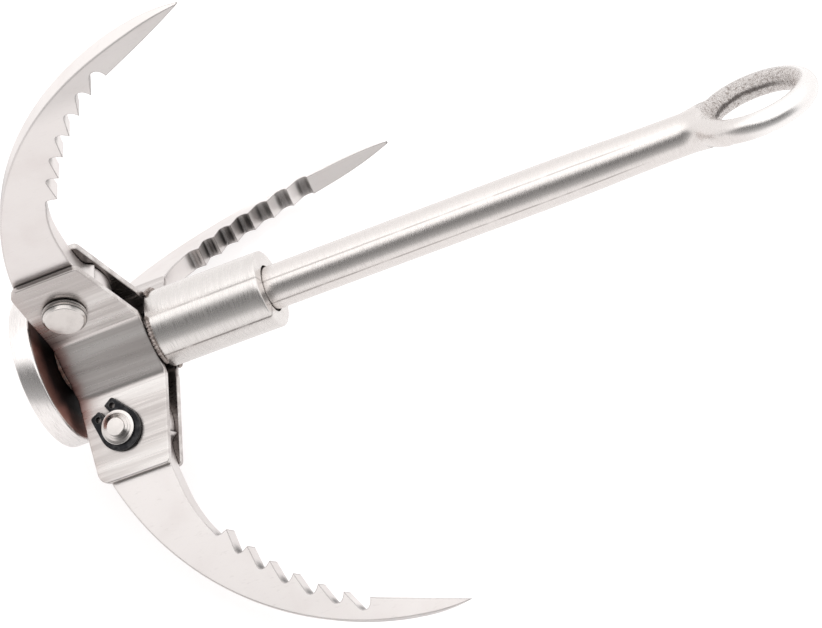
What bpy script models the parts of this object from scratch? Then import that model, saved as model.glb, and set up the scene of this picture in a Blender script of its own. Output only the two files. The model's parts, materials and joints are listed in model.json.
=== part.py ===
"""Folding three-claw grapnel anchor.

Frame: metres, +Z up, origin at the centre of the foot disc's lower face.
The centre rod stands on +Z, the eye is at the top and claw 1 points along +X;
claws 2 and 3 follow at 120 and 240 degrees.  Each claw lies in a radial plane
and turns about a pin that is square to that plane.

Sizes are in millimetres and angles in degrees unless noted.  In a claw's plane,
points are (distance from the rod's axis, height); s is the distance from that plane.
"""
import math

import bmesh
import bpy
from mathutils import Matrix, Vector

MM = 0.001                   # metres in a millimetre
GAP = 0.3                    # standing gap between neighbouring solids

# ---- foot -----------------------------------------------------------------
FOOT_R = 22.2
FOOT_H = 6.0
FOOT_EDGE = 0.4              # chamfer
FOOT_WELD_R = 8.9            # fillet weld between the rod and the disc
FOOT_WELD_H = 2.8

# ---- centre rod -----------------------------------------------------------
ROD_R = 6.0
ROD_CHAMFER = 0.5
ROD_NECK_R = 5.4             # turned neck under the eye
ROD_NECK_Z = 185.0
ROD_NECK_TAPER_H = 1.2

# ---- eye ------------------------------------------------------------------
EYE_MEAN_R = 13.8
EYE_BAR_R = 3.05             # half the bar's depth in the ring's plane
EYE_BAR_W = 3.3              # half the bar's width across that plane
EYE_Z = 207.4
EYE_TURN = 66.0              # azimuth of the ring's plane
EYE_SHIFT = (-0.4, -0.6)     # set-off from the rod's axis, along and across that plane
EYE_WELD_R = 7.3
EYE_WELD_Z0 = 186.6
EYE_WELD_Z1 = 192.4
EYE_WELD_FLAT = 0.9          # width of the flat lower face
EYE_WELD_ROUND_H = 2.0       # height of the rounded lower edge
EYE_WELD_CHAMFER_R = 1.0     # upper edge
EYE_WELD_CHAMFER_H = 1.4

# ---- folded side plates ---------------------------------------------------
PLATE_T = 2.0
PLATE_WEB_D = 10.5           # web's face away from the axis, from the axis
PLATE_FLANGE_S = 5.0         # flange's face away from the claw
PLATE_BEND_R = 1.5           # inside radius of a bend
PLATE_BEND_TURN = 30.0       # half of a bend's turn, from each flange to the web
PLATE_REACH = 36.7           # flange's end, from the axis
PLATE_Z0 = 8.0               # lower edge
PLATE_Z1 = 34.8              # upper edge, at the web
PLATE_Z1_END = 29.0          # and at the flange's end
PLATE_SLOPE_FROM = 12.5      # where the upper edge starts to fall
PLATE_CORNER_LOW = 3.4       # corner radii at the flange's end
PLATE_CORNER_HIGH = 1.4
PLATE_FLANGE_STATIONS = (30.0, 23.0, 16.0)  # between the corner and the bend

# ---- guide sleeve ---------------------------------------------------------
SLEEVE_R = 10.73
SLEEVE_BORE_R = 6.5
SLEEVE_Z0 = PLATE_Z1 + GAP
SLEEVE_Z1 = 68.4
SLEEVE_CHAMFER = 0.7         # upper outside edge
SLEEVE_LOW_CHAMFER = 0.3     # lower outside edge
SLEEVE_BORE_CHAMFER = 0.4    # upper edge of the bore

# ---- weld bead between the sleeve and each plate --------------------------
BEAD_R = 0.8
BEAD_RING_R = 11.9
BEAD_Z = 35.95
BEAD_SPAN = 42.0             # half of its arc
BEAD_END_SCALES = (0.45, 0.8)  # bead size at the end and one step in

# ---- claw pivots, pins and their holes ------------------------------------
PIVOT_R = 23.2
PIVOT_Z = 18.0
PIN_R = 4.75
PIN_HOLE_R = PIN_R + 0.2
PIN_HOLE_REACH = PLATE_FLANGE_S + 2.0  # half the length of the hole cutter
PIN_HEAD_R = 6.05
PIN_HEAD_H = 2.8
PIN_HEAD_CHAMFER_H = 1.0
PIN_HEAD_CHAMFER_R = 0.85
PIN_END_S = -8.6
PIN_END_FLAT_R = 2.6         # flat of the tapered end
PIN_END_TAPER = 1.1
PIN_GROOVE_R = 4.1

# ---- retaining rings ------------------------------------------------------
CLIP_T = 1.0
CLIP_S = -5.35               # face towards the flange
CLIP_IN_R = 4.45
CLIP_GAP_AT = 208.0          # direction of the ring's gap in the claw plane
CLIP_GAP_W = 2.1             # width of the gap between the lugs
CLIP_OUT_R = 6.05            # outer circle, set off away from the gap
CLIP_OUT_SHIFT = -0.45
CLIP_LUG_NEAR = (7.35, 1.05)  # corners of a lug, from the pin's axis along the gap
CLIP_LUG_FAR = (7.55, 4.25)

# ---- claws ----------------------------------------------------------------
CLAW_T = 5.6
CLAW_TIP_T = 1.7
CLAW_CHAMFER = 0.25
CLAW_LEANS = (-3.0, 0.4, -8.2)  # turn of each claw about its pin; positive lifts the tip
BACK_C = (9.77, 94.4)        # arc of the convex back, facing out and down
BACK_R = 88.25
TIP_AT = 1.96                # direction of the claw's point on the back's arc
TIP_TUCK = 0.75              # the back draws in by this much over its last stretch
TIP_TUCK_SPAN = 8.0
WEDGE_FROM = 0.8             # start of the thinning, past the last tooth's point
EDGE_C = (13.3, 110.8)       # centre of the concave toothed edge's arc
PLAIN_R = 88.25              # plain edge between the teeth and the shoulder
PLAIN_DRAW = 1.6             # it draws in by this much over the span below
PLAIN_DRAW_FROM = -60.0
PLAIN_DRAW_SPAN = 10.0
PLAIN_DIRECTIONS = (-60.0, -61.7, -63.4, -65.0, -66.5, -68.0, -69.6)
GULLET_R = 88.33             # depth of the round-bottomed gullets
TEETH = 7
TOOTH_R = 85.35              # first tooth's point, and the change on each next one
TOOTH_R_STEP = -0.09
TOOTH_FIRST = -58.16         # direction of the first tooth's root
TOOTH_STEP = 4.9
TOOTH_LEAD = 0.36            # a tooth's point stands this far past its root
TOOTH_LEAD_STEP = 0.165      # and leans this much further on each next tooth
TOOTH_BULGE = -0.22          # how far the hook's face swings past its point
TOOTH_BULGE_STEP = 0.064
TAIL_R = 12.6                # round tail about the pivot
TAIL_LOW_R = 10.6            # its lower part
# shoulder between the plain edge and the tail: distance from the axis, height
SHOULDER = [(40.5, 29.0), (36.0, 28.4), (31.5, 28.2), (29.4, 28.4), (28.3, 30.5)]

CLAW_AZIMUTHS = (0.0, 120.0, 240.0)
PLATE_OFFSET = 60.0          # each plate stands midway between two claws

# ---- finishes -------------------------------------------------------------
STEEL = (0.78, 0.76, 0.74)
DARK_STEEL = (0.30, 0.26, 0.24)
BLACK = (0.03, 0.03, 0.032)
FINISHES = {                 # base colour, metallic, roughness
    "foot_disc": (DARK_STEEL, 1.0, 0.4),
    "foot_weld": (DARK_STEEL, 1.0, 0.55),
    "centre_rod": (STEEL, 1.0, 0.3),
    "eye_ring": (STEEL, 1.0, 0.35),
    "eye_weld": (STEEL, 1.0, 0.6),
    "guide_sleeve": (STEEL, 1.0, 0.28),
    "side_plate": (STEEL, 1.0, 0.32),
    "plate_weld": (STEEL, 1.0, 0.6),
    "claw": (STEEL, 1.0, 0.4),
    "pivot_pin": (STEEL, 1.0, 0.3),
    "circlip": (BLACK, 0.6, 0.4),
}


# ---- scene helpers --------------------------------------------------------
def clear_scene():
    for ob in list(bpy.data.objects):
        bpy.data.objects.remove(ob, do_unlink=True)
    for block in (bpy.data.meshes, bpy.data.curves, bpy.data.materials):
        for item in list(block):
            block.remove(item)


def material(name, colour, metallic, roughness):
    mat = bpy.data.materials.new(name)
    mat.use_nodes = True
    bsdf = mat.node_tree.nodes["Principled BSDF"]
    bsdf.inputs["Base Color"].default_value = (*colour, 1.0)
    bsdf.inputs["Metallic"].default_value = metallic
    bsdf.inputs["Roughness"].default_value = roughness
    return mat


def add_object(name, mesh, location, rotation):
    ob = bpy.data.objects.new(name, mesh)
    bpy.context.scene.collection.objects.link(ob)
    ob.location = location
    ob.rotation_euler = rotation
    return ob


def place(kind, mesh, number=None, location=(0, 0, 0), rotation=(0, 0, 0)):
    """Add one piece with a material of its own, even where the mesh is shared."""
    name = f"{kind}_{number}" if number else kind
    ob = add_object(name, mesh, location, rotation)
    mat = material(name, *FINISHES[kind])
    if not mesh.materials:
        mesh.materials.append(mat)
    ob.material_slots[0].link = "OBJECT"
    ob.material_slots[0].material = mat
    return ob


def add_cutter(name, mesh, location, rotation):
    ob = add_object(name, mesh, location, rotation)
    ob.hide_render = True
    ob.display_type = "WIRE"
    return ob


def cut(ob, cutter):
    mod = ob.modifiers.new("cut_" + cutter.name, "BOOLEAN")
    mod.operation = "DIFFERENCE"
    mod.solver = "EXACT"
    mod.object = cutter


def pivot_at(azimuth):
    """Where a claw's pin crosses its plane, in metres."""
    return (*polar((0, 0), PIVOT_R * MM, azimuth), PIVOT_Z * MM)


def tangential(azimuth, spin=0.0):
    """Rotation that turns local Z to the tangential direction at azimuth.

    Local X becomes the radial direction turned by spin in the claw plane.
    """
    turn, spin = math.radians(azimuth), math.radians(spin)
    radial = Vector((math.cos(turn), math.sin(turn), 0))
    tangent = Vector((-math.sin(turn), math.cos(turn), 0))
    local_x = radial * math.cos(spin) + Vector((0, 0, 1)) * math.sin(spin)
    return Matrix((local_x, tangent.cross(local_x), tangent)).transposed().to_euler()


# ---- shape helpers --------------------------------------------------------
def polar(centre, radius, degrees):
    angle = math.radians(degrees)
    return (centre[0] + radius * math.cos(angle), centre[1] + radius * math.sin(angle))


def arc(centre, radius, start, end, steps):
    return [polar(centre, radius, start + (end - start) * i / steps) for i in range(steps + 1)]


def inset(points, width):
    """Move a counter-clockwise outline inwards by width, with mitred corners."""
    moved = []
    for i, point in enumerate(points):
        before, here, after = (Vector(p) for p in
                               (points[i - 1], point, points[(i + 1) % len(points)]))
        edge_in = (here - before).normalized()
        edge_out = (after - here).normalized()
        normal = Vector((-edge_in.y, edge_in.x))
        mitre = (normal + Vector((-edge_out.y, edge_out.x))).normalized()
        # the lower limit keeps sharp corners from shooting off
        reach = width / max(0.35, mitre.dot(normal))
        moved.append((here.x + mitre.x * reach, here.y + mitre.y * reach))
    return moved


def loft(rings, closed=False):
    """Skin over successive rings of (x, y, z) points.

    A closed loft joins its last ring to its first; an open one gets end caps.
    A ring of a single point is a pole.
    """
    bm = bmesh.new()
    rings = [[bm.verts.new((x * MM, y * MM, z * MM)) for x, y, z in ring] for ring in rings]
    if closed:
        rings.append(rings[0])
    for low, high in zip(rings, rings[1:]):
        count = max(len(low), len(high))
        for k in range(count):
            j = (k + 1) % count
            corners = (low[k % len(low)], low[j % len(low)],
                       high[j % len(high)], high[k % len(high)])
            # a pole fills two corners, so repeats are dropped
            bm.faces.new(list(dict.fromkeys(corners)))
    if not closed and len(rings[0]) > 1:
        bm.faces.new(rings[0])
        bm.faces.new(rings[-1])
    return bm


def mesh_from(name, bm, smooth_angle=None):
    bmesh.ops.recalc_face_normals(bm, faces=bm.faces[:])
    mesh = bpy.data.meshes.new(name)
    bm.to_mesh(mesh)
    bm.free()
    if smooth_angle:
        mesh.shade_smooth()
        mesh.set_sharp_from_angle(angle=math.radians(smooth_angle))
    return mesh


def turned(name, profile, segments, closed=False):
    """Lathe shape about Z from (radius, z) points; an open profile ends on the axis."""
    rings = []
    for radius, z in profile:
        count = segments if radius > 0 else 1
        rings.append([(*polar((0, 0), radius, 360.0 * k / count), z) for k in range(count)])
    return mesh_from(name, loft(rings, closed), smooth_angle=35)


# ---- foot and centre rod --------------------------------------------------
def foot_disc_mesh():
    return turned("foot_disc", [
        (0, 0), (FOOT_R - FOOT_EDGE, 0), (FOOT_R, FOOT_EDGE), (FOOT_R, FOOT_H - FOOT_EDGE),
        (FOOT_R - FOOT_EDGE, FOOT_H), (0, FOOT_H)], segments=72)


def foot_weld_mesh():
    """Ring with a quarter-ellipse section around the rod."""
    bore = ROD_R + GAP
    base = FOOT_H + GAP
    profile = [(bore, base)]
    for k in range(5):
        angle = math.radians(22.5 * k)
        profile.append((bore + (FOOT_WELD_R - bore) * math.cos(angle),
                        base + FOOT_WELD_H * math.sin(angle)))
    return turned("foot_weld", profile, segments=40, closed=True)


def centre_rod_mesh():
    base = FOOT_H + GAP
    top = EYE_Z - EYE_MEAN_R - EYE_BAR_R - GAP
    return turned("centre_rod", [
        (0, base), (ROD_R - ROD_CHAMFER, base), (ROD_R, base + ROD_CHAMFER),
        (ROD_R, ROD_NECK_Z - ROD_NECK_TAPER_H), (ROD_NECK_R, ROD_NECK_Z),
        (ROD_NECK_R, top), (0, top)], segments=48)


# ---- eye ------------------------------------------------------------------
def eye_torus(name, tube_segments, clearance=0.0):
    """Ring of oval bar standing in the XZ plane."""
    rings = []
    for i in range(48):
        around = math.radians(360.0 * i / 48)
        ring = []
        for j in range(tube_segments):
            tube = math.radians(360.0 * j / tube_segments)
            radius = EYE_MEAN_R + (EYE_BAR_R + clearance) * math.cos(tube)
            ring.append((radius * math.cos(around), (EYE_BAR_W + clearance) * math.sin(tube),
                         radius * math.sin(around)))
        rings.append(ring)
    return mesh_from(name, loft(rings, closed=True), smooth_angle=60)


def eye_weld_mesh():
    """Collar around the rod's neck."""
    bore = ROD_NECK_R + GAP
    profile = [(bore, EYE_WELD_Z0), (bore + EYE_WELD_FLAT, EYE_WELD_Z0)]
    for angle in (math.radians(60), math.radians(90)):
        profile.append((bore + (EYE_WELD_R - bore) * math.sin(angle),
                        EYE_WELD_Z0 + EYE_WELD_ROUND_H * (1 - math.cos(angle))))
    profile += [(EYE_WELD_R, EYE_WELD_Z1 - EYE_WELD_CHAMFER_H),
                (EYE_WELD_R - EYE_WELD_CHAMFER_R, EYE_WELD_Z1), (bore, EYE_WELD_Z1)]
    return turned("eye_weld", profile, segments=40, closed=True)


def build_eye():
    turn = math.radians(EYE_TURN)
    location = Matrix.Rotation(turn, 3, "Z") @ Vector((*EYE_SHIFT, EYE_Z)) * MM
    rotation = (0, 0, turn)
    place("eye_ring", eye_torus("eye_ring", tube_segments=16),
          location=location, rotation=rotation)
    weld = place("eye_weld", eye_weld_mesh())
    cutter_mesh = eye_torus("cut_eye", tube_segments=20, clearance=GAP)
    cut(weld, add_cutter("cut_eye", cutter_mesh, location, rotation))


# ---- hub: sleeve, folded plates and their welds ---------------------------
def guide_sleeve_mesh():
    return turned("guide_sleeve", [
        (SLEEVE_BORE_R, SLEEVE_Z0), (SLEEVE_R - SLEEVE_LOW_CHAMFER, SLEEVE_Z0),
        (SLEEVE_R, SLEEVE_Z0 + SLEEVE_LOW_CHAMFER), (SLEEVE_R, SLEEVE_Z1 - SLEEVE_CHAMFER),
        (SLEEVE_R - SLEEVE_CHAMFER, SLEEVE_Z1), (SLEEVE_BORE_R + SLEEVE_BORE_CHAMFER, SLEEVE_Z1),
        (SLEEVE_BORE_R, SLEEVE_Z1 - SLEEVE_BORE_CHAMFER)], segments=64, closed=True)


def plate_stations():
    """Stations along the folded sheet: far-side point, near-side point and reach.

    The sheet is drawn about azimuth 0 with its flanges at -60 and +60 degrees.
    The near side is the one towards the claws and the rod.
    """
    sin_flange = math.sin(math.radians(PLATE_OFFSET))
    cos_flange = math.cos(math.radians(PLATE_OFFSET))
    bend_s = PLATE_FLANGE_S + PLATE_BEND_R
    bend_r = (PLATE_WEB_D + PLATE_BEND_R - bend_s * sin_flange) / cos_flange

    def from_claw(r, s):
        """Point r along the claw at -60 degrees and s from its plane towards the web."""
        return (r * cos_flange + s * sin_flange, -r * sin_flange + s * cos_flange)

    reaches = [PLATE_REACH - PLATE_CORNER_LOW * (1 - math.cos(math.radians(22.5 * k)))
               for k in range(5)]
    half = [(from_claw(r, PLATE_FLANGE_S), from_claw(r, PLATE_FLANGE_S - PLATE_T), r)
            for r in (*reaches, *PLATE_FLANGE_STATIONS)]
    for k in range(5):
        angle = math.radians(PLATE_BEND_TURN * k / 4)
        far, near = (from_claw(bend_r - radius * math.sin(angle),
                               bend_s - radius * math.cos(angle))
                     for radius in (PLATE_BEND_R, PLATE_BEND_R + PLATE_T))
        half.append((far, near, bend_r))
    mirrored = [((far[0], -far[1]), (near[0], -near[1]), r) for far, near, r in reversed(half)]
    return half + mirrored


def corner_drop(r, radius):
    """How far a rounded corner at the flange's end has left the straight edge."""
    past = r - (PLATE_REACH - radius)
    if past <= 0:
        return 0.0
    return radius - math.sqrt(max(0.0, radius ** 2 - past * past))


def plate_top(r):
    slope = (PLATE_Z1_END - PLATE_Z1) / (PLATE_REACH - PLATE_SLOPE_FROM)
    straight = PLATE_Z1 + slope * max(0.0, r - PLATE_SLOPE_FROM)
    return straight - corner_drop(r, PLATE_CORNER_HIGH)


def side_plate_mesh():
    rings = []
    for far, near, r in plate_stations():
        top = plate_top(r)
        bottom = PLATE_Z0 + corner_drop(r, PLATE_CORNER_LOW)
        rings.append([(*far, bottom), (*far, top), (*near, top), (*near, bottom)])
    return mesh_from("side_plate", loft(rings), smooth_angle=25)


def plate_weld_mesh():
    """Arc of weld bead about Z, centred on azimuth 0, with tapered ends."""
    steps, around = 20, 10
    rings = []
    for i in range(steps + 1):
        azimuth = -BEAD_SPAN + 2 * BEAD_SPAN * i / steps
        from_end = min(i, steps - i)
        scale = BEAD_END_SCALES[from_end] if from_end < len(BEAD_END_SCALES) else 1.0
        section = [polar((BEAD_RING_R, BEAD_Z), BEAD_R * scale, 360.0 * j / around)
                   for j in range(around)]
        rings.append([(*polar((0, 0), r, azimuth), z) for r, z in section])
    return mesh_from("plate_weld", loft(rings), smooth_angle=40)


def build_hub(pin_cutters):
    place("guide_sleeve", guide_sleeve_mesh())
    plate, bead = side_plate_mesh(), plate_weld_mesh()
    for i, claw_azimuth in enumerate(CLAW_AZIMUTHS):
        rotation = (0, 0, math.radians(claw_azimuth + PLATE_OFFSET))
        ob = place("side_plate", plate, i + 1, rotation=rotation)
        # each plate holds the pins of the claws on both its sides
        cut(ob, pin_cutters[i])
        cut(ob, pin_cutters[(i + 1) % len(pin_cutters)])
        place("plate_weld", bead, i + 1, rotation=rotation)


# ---- claw -----------------------------------------------------------------
def back_point(at):
    """Point of the claw's back, which draws in towards the tip."""
    tuck = max(0.0, at - (TIP_AT - TIP_TUCK_SPAN)) / TIP_TUCK_SPAN
    return polar(BACK_C, BACK_R - TIP_TUCK * tuck * tuck, at)


def plain_edge(at):
    """Point of the concave edge between the shoulder and the first tooth."""
    draw = max(0.0, PLAIN_DRAW_FROM - at) / PLAIN_DRAW_SPAN
    return polar(EDGE_C, PLAIN_R - PLAIN_DRAW * draw * draw, at)


def tooth(i):
    """A tooth's point, then its hooked face down to the round-bottomed gullet."""
    at = TOOTH_FIRST + TOOTH_STEP * i + TOOTH_LEAD + TOOTH_LEAD_STEP * i
    bulge = TOOTH_BULGE + TOOTH_BULGE_STEP * i
    tip_r = TOOTH_R + TOOTH_R_STEP * i
    # direction from the tooth's point, radius
    shape = [(0.0, tip_r), (bulge, tip_r + 1.6), (bulge - 0.15, GULLET_R - 0.88),
             (bulge / 2 - 0.42, GULLET_R - 0.33), (-0.78, GULLET_R), (-1.18, GULLET_R)]
    if i:
        # the gullet rises again to the next tooth down
        shape.append((-1.62, GULLET_R - 0.28))
    return [polar(EDGE_C, radius, at + turn) for turn, radius in shape]


def claw_outline():
    """Claw's outline in its own plane, counter-clockwise with the axis to the left."""
    pivot = (PIVOT_R, PIVOT_Z)
    heel_z = PIVOT_Z - TAIL_LOW_R
    heel_at = -math.degrees(math.asin((BACK_C[1] - heel_z) / BACK_R))
    # tail's lower side towards the rod, then the flat heel
    points = arc(pivot, TAIL_LOW_R, 214.0, 270.0, 8)
    # back, from the heel to the point
    points += [back_point(heel_at + (TIP_AT - heel_at) * i / 34) for i in range(35)]
    # toothed edge, from the last tooth down to the first
    for i in reversed(range(TEETH)):
        points += tooth(i)
    points += [plain_edge(at) for at in PLAIN_DIRECTIONS]
    points += SHOULDER
    # round tail over the pivot
    points += arc(pivot, TAIL_R, 69.0, 190.0, 20)
    return points


def thin_tip(bm):
    """Thin the last stretch of the claw as a plane wedge."""
    pivot = Vector((PIVOT_R, PIVOT_Z))
    tip = Vector(back_point(TIP_AT)) - pivot
    start = Vector(tooth(TEETH - 1)[0]) - pivot
    along = (tip - start).normalized()
    start = start + along * WEDGE_FROM
    length = (tip - start).length
    # crease square to the line from the last tooth's point to the claw's point
    bmesh.ops.bisect_plane(bm, geom=bm.verts[:] + bm.edges[:] + bm.faces[:], dist=1e-7,
                           plane_co=(start.x * MM, 0, start.y * MM),
                           plane_no=(along.x, 0, along.y))
    for vert in bm.verts:
        share = (Vector((vert.co.x, vert.co.z)) / MM - start).dot(along) / length
        if share > 0:
            vert.co.y *= 1 - (1 - CLAW_TIP_T / CLAW_T) * share


def claw_mesh():
    """Flat claw with chamfered edges, its origin at the pivot."""
    outline = claw_outline()
    face = inset(outline, CLAW_CHAMFER)
    half = CLAW_T / 2
    layers = ((face, -half), (outline, CLAW_CHAMFER - half),
              (outline, half - CLAW_CHAMFER), (face, half))
    bm = loft([[(x - PIVOT_R, y, z - PIVOT_Z) for x, z in points] for points, y in layers])
    thin_tip(bm)
    return mesh_from("claw", bm, smooth_angle=30)


# ---- pin and retaining ring -----------------------------------------------
def pin_hole_mesh(name):
    """Cylinder along local Y."""
    return mesh_from(name, loft([
        [(x, s, z) for x, z in (polar((0, 0), PIN_HOLE_R, 360.0 * k / 40) for k in range(40))]
        for s in (-PIN_HOLE_REACH, PIN_HOLE_REACH)]))


def pivot_pin_mesh():
    """Pin about local Z, head upwards."""
    head_s0 = PLATE_FLANGE_S + GAP
    head_s1 = head_s0 + PIN_HEAD_H
    groove_s0, groove_s1 = CLIP_S - CLIP_T - GAP, CLIP_S + GAP
    return turned("pivot_pin", [
        (0, PIN_END_S), (PIN_END_FLAT_R, PIN_END_S), (PIN_R, PIN_END_S + PIN_END_TAPER),
        (PIN_R, groove_s0), (PIN_GROOVE_R, groove_s0), (PIN_GROOVE_R, groove_s1),
        (PIN_R, groove_s1), (PIN_R, head_s0), (PIN_HEAD_R, head_s0),
        (PIN_HEAD_R, head_s1 - PIN_HEAD_CHAMFER_H),
        (PIN_HEAD_R - PIN_HEAD_CHAMFER_R, head_s1), (0, head_s1)], segments=40)


def clip_outer(degrees):
    """Radius of the ring's outer edge at degrees from the middle of its gap."""
    angle = math.radians(min(degrees, 360.0 - degrees))
    near, far = Vector(CLIP_LUG_NEAR), Vector(CLIP_LUG_FAR)
    centre = Vector((CLIP_OUT_SHIFT, 0))
    reach = far - centre
    # the lug's flank runs from its far corner to a tangent point on the outer circle
    turn = math.atan2(reach.y, reach.x) + math.acos(CLIP_OUT_R / reach.length)
    touch = centre + Vector((math.cos(turn), math.sin(turn))) * CLIP_OUT_R
    ray = Vector((math.cos(angle), math.sin(angle)))

    def crossing(start, end):
        """Distance along the ray to the line through start and end."""
        line = end - start
        return start.cross(line) / ray.cross(line)

    if angle < math.atan2(far.y, far.x):
        return crossing(near, far)
    if angle < math.atan2(touch.y, touch.x):
        return crossing(far, touch)
    along = CLIP_OUT_SHIFT * math.cos(angle)
    return along + math.sqrt(CLIP_OUT_R ** 2 - (CLIP_OUT_SHIFT * math.sin(angle)) ** 2)


def circlip_mesh():
    """Open ring with a lug at each end, its gap centred on local +X."""
    start = math.degrees(math.atan2(CLIP_LUG_NEAR[1], CLIP_LUG_NEAR[0]))
    start_in = math.degrees(math.asin(CLIP_GAP_W / 2 / CLIP_IN_R))
    corner = math.degrees(math.atan2(CLIP_LUG_FAR[1], CLIP_LUG_FAR[0]))
    lug = [start, (start + corner) / 2, corner] + [corner + 7.0 * k for k in range(1, 8)]
    body = [lug[-1] + (360.0 - 2 * lug[-1]) * k / 22 for k in range(1, 22)]
    rings = []
    for at in lug + body + [360.0 - at for at in reversed(lug)]:
        # directions on the bore are spread evenly to match those on the outer edge
        at_in = start_in + (360.0 - 2 * start_in) * (at - start) / (360.0 - 2 * start)
        bore = polar((0, 0), CLIP_IN_R, at_in)
        rim = polar((0, 0), clip_outer(at), at)
        low = CLIP_S - CLIP_T
        rings.append([(*bore, low), (*rim, low), (*rim, CLIP_S), (*bore, CLIP_S)])
    return mesh_from("circlip", loft(rings))


# ---- assembly -------------------------------------------------------------
def add_pin_cutters():
    cutters = []
    for i, azimuth in enumerate(CLAW_AZIMUTHS, 1):
        name = f"cut_pin_{i}"
        cutters.append(add_cutter(name, pin_hole_mesh(name), pivot_at(azimuth),
                                  (0, 0, math.radians(azimuth))))
    return cutters


def build_claws(pin_cutters):
    claw, pin, clip = claw_mesh(), pivot_pin_mesh(), circlip_mesh()
    sets = zip(CLAW_AZIMUTHS, CLAW_LEANS, pin_cutters)
    for i, (azimuth, lean, cutter) in enumerate(sets, 1):
        pivot = pivot_at(azimuth)
        ob = place("claw", claw, i, pivot, (0, -math.radians(lean), math.radians(azimuth)))
        cut(ob, cutter)
        place("pivot_pin", pin, i, pivot, tangential(azimuth))
        place("circlip", clip, i, pivot, tangential(azimuth, spin=CLIP_GAP_AT))


def build():
    clear_scene()
    place("foot_disc", foot_disc_mesh())
    place("foot_weld", foot_weld_mesh())
    place("centre_rod", centre_rod_mesh())
    build_eye()
    pin_cutters = add_pin_cutters()
    build_hub(pin_cutters)
    build_claws(pin_cutters)
    bpy.context.view_layer.update()


build()
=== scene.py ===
"""Looks of a folding grapnel anchor.

The rod runs up Z from the foot disc at z = 0 to the eye at the top.  A sleeve with three
bent side plates sits round the rod, and three toothed claws pivot between the plates,
curving outwards and up towards the eye.  The floor is tilted, so that the anchor lies on
its side.  Lengths are in millimetres unless a comment says metres; MM turns them into
metres.  Each piece stands for one or more CAD nodes.
"""
import json
import math

import bmesh
import bpy
import numpy as np
from mathutils import Matrix, Vector, noise


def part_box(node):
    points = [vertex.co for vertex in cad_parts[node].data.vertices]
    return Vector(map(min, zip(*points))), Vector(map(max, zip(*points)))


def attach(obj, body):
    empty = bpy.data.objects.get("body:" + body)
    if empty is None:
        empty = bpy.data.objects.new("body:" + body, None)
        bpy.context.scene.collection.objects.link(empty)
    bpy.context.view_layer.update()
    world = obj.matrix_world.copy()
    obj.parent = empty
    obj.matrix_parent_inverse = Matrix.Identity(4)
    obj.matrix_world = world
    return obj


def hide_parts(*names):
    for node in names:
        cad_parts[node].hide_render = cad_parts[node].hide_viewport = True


MM = 0.001
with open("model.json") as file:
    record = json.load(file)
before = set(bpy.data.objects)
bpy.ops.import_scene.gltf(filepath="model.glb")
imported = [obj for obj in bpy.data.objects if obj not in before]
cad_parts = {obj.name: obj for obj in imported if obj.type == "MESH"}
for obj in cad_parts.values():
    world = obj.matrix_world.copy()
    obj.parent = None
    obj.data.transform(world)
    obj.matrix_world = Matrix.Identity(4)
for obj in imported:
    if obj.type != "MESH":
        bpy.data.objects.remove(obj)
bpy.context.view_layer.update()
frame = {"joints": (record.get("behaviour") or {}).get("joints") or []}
JOINTS = {joint["name"]: joint for joint in frame["joints"]}


# ---- sizes -------------------------------------------------------------------
def mm_box(node):
    low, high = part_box(node)
    return low / MM, high / MM


def metres(*lengths):
    return tuple(length * MM for length in lengths)


def claw_joint(number):
    """Where a claw's joint is, in metres."""
    return Vector(JOINTS["claw_%d_fold" % number]["pos_m"])


# read from the frame
low, high = mm_box("centre_rod")
ROD_R = (high.x - low.x) / 2
ROD_Z0 = low.z
low, high = mm_box("foot_disc")
FOOT_R = (high.x - low.x) / 2
FOOT_H = high.z
low, high = mm_box("guide_sleeve")
SLEEVE_R = (high.x - low.x) / 2
SLEEVE_Z0, SLEEVE_Z1 = low.z, high.z
low, high = mm_box("side_plate_2")
PLATE_Z0, PLATE_Z1 = low.z, high.z
low, high = mm_box("eye_ring")
EYE_OUT = (high.z - low.z) / 2
EYE_Z = (high.z + low.z) / 2
pivot = claw_joint(1) / MM
PIVOT_R, PIVOT_Z = pivot.x, pivot.z

# azimuths in degrees
CLAW_AZ = (0.0, 120.0, 240.0)
PLATE_AZ = (60.0, 180.0, 300.0)

FLANGE_S = 5.0              # outer face of a plate's flange, from the claw's mid plane
SLEEVE_BORE_R = 6.5
PIN_R = 4.75
PIN_HOLE_R = PIN_R + 0.2

EYE_BAR_R = 3.05            # in the ring's plane
EYE_BAR_W = 3.3             # half width along the ring's axis
EYE_MEAN_R = EYE_OUT - EYE_BAR_R
EYE_TURN = math.radians(66.0)
EYE_SHIFT = (-0.4, -0.6)    # off the rod's axis: in the ring's plane, along the ring's axis

# floor normal and camera axes, in the anchor's frame
UP = Vector((0.9135, 0.0, 0.4068)).normalized()
CAM_AT = Vector((0.52554, 0.53119, 0.30387))
CAM_RIGHT = Vector((-0.4139544, 0.07800358, 0.90694939))
CAM_DOWN = Vector((-0.58598509, 0.73960444, -0.33106909))
CAM_FORWARD = Vector((-0.69660837, -0.66850633, -0.26045358))


# ---- outline helpers -----------------------------------------------------------
def polar(centre, radius, degrees):
    angle = math.radians(degrees)
    return (centre[0] + radius * math.cos(angle), centre[1] + radius * math.sin(angle))


def arc(centre, radius, start, end, steps):
    return [polar(centre, radius, start + (end - start) * i / steps) for i in range(steps + 1)]


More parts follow.
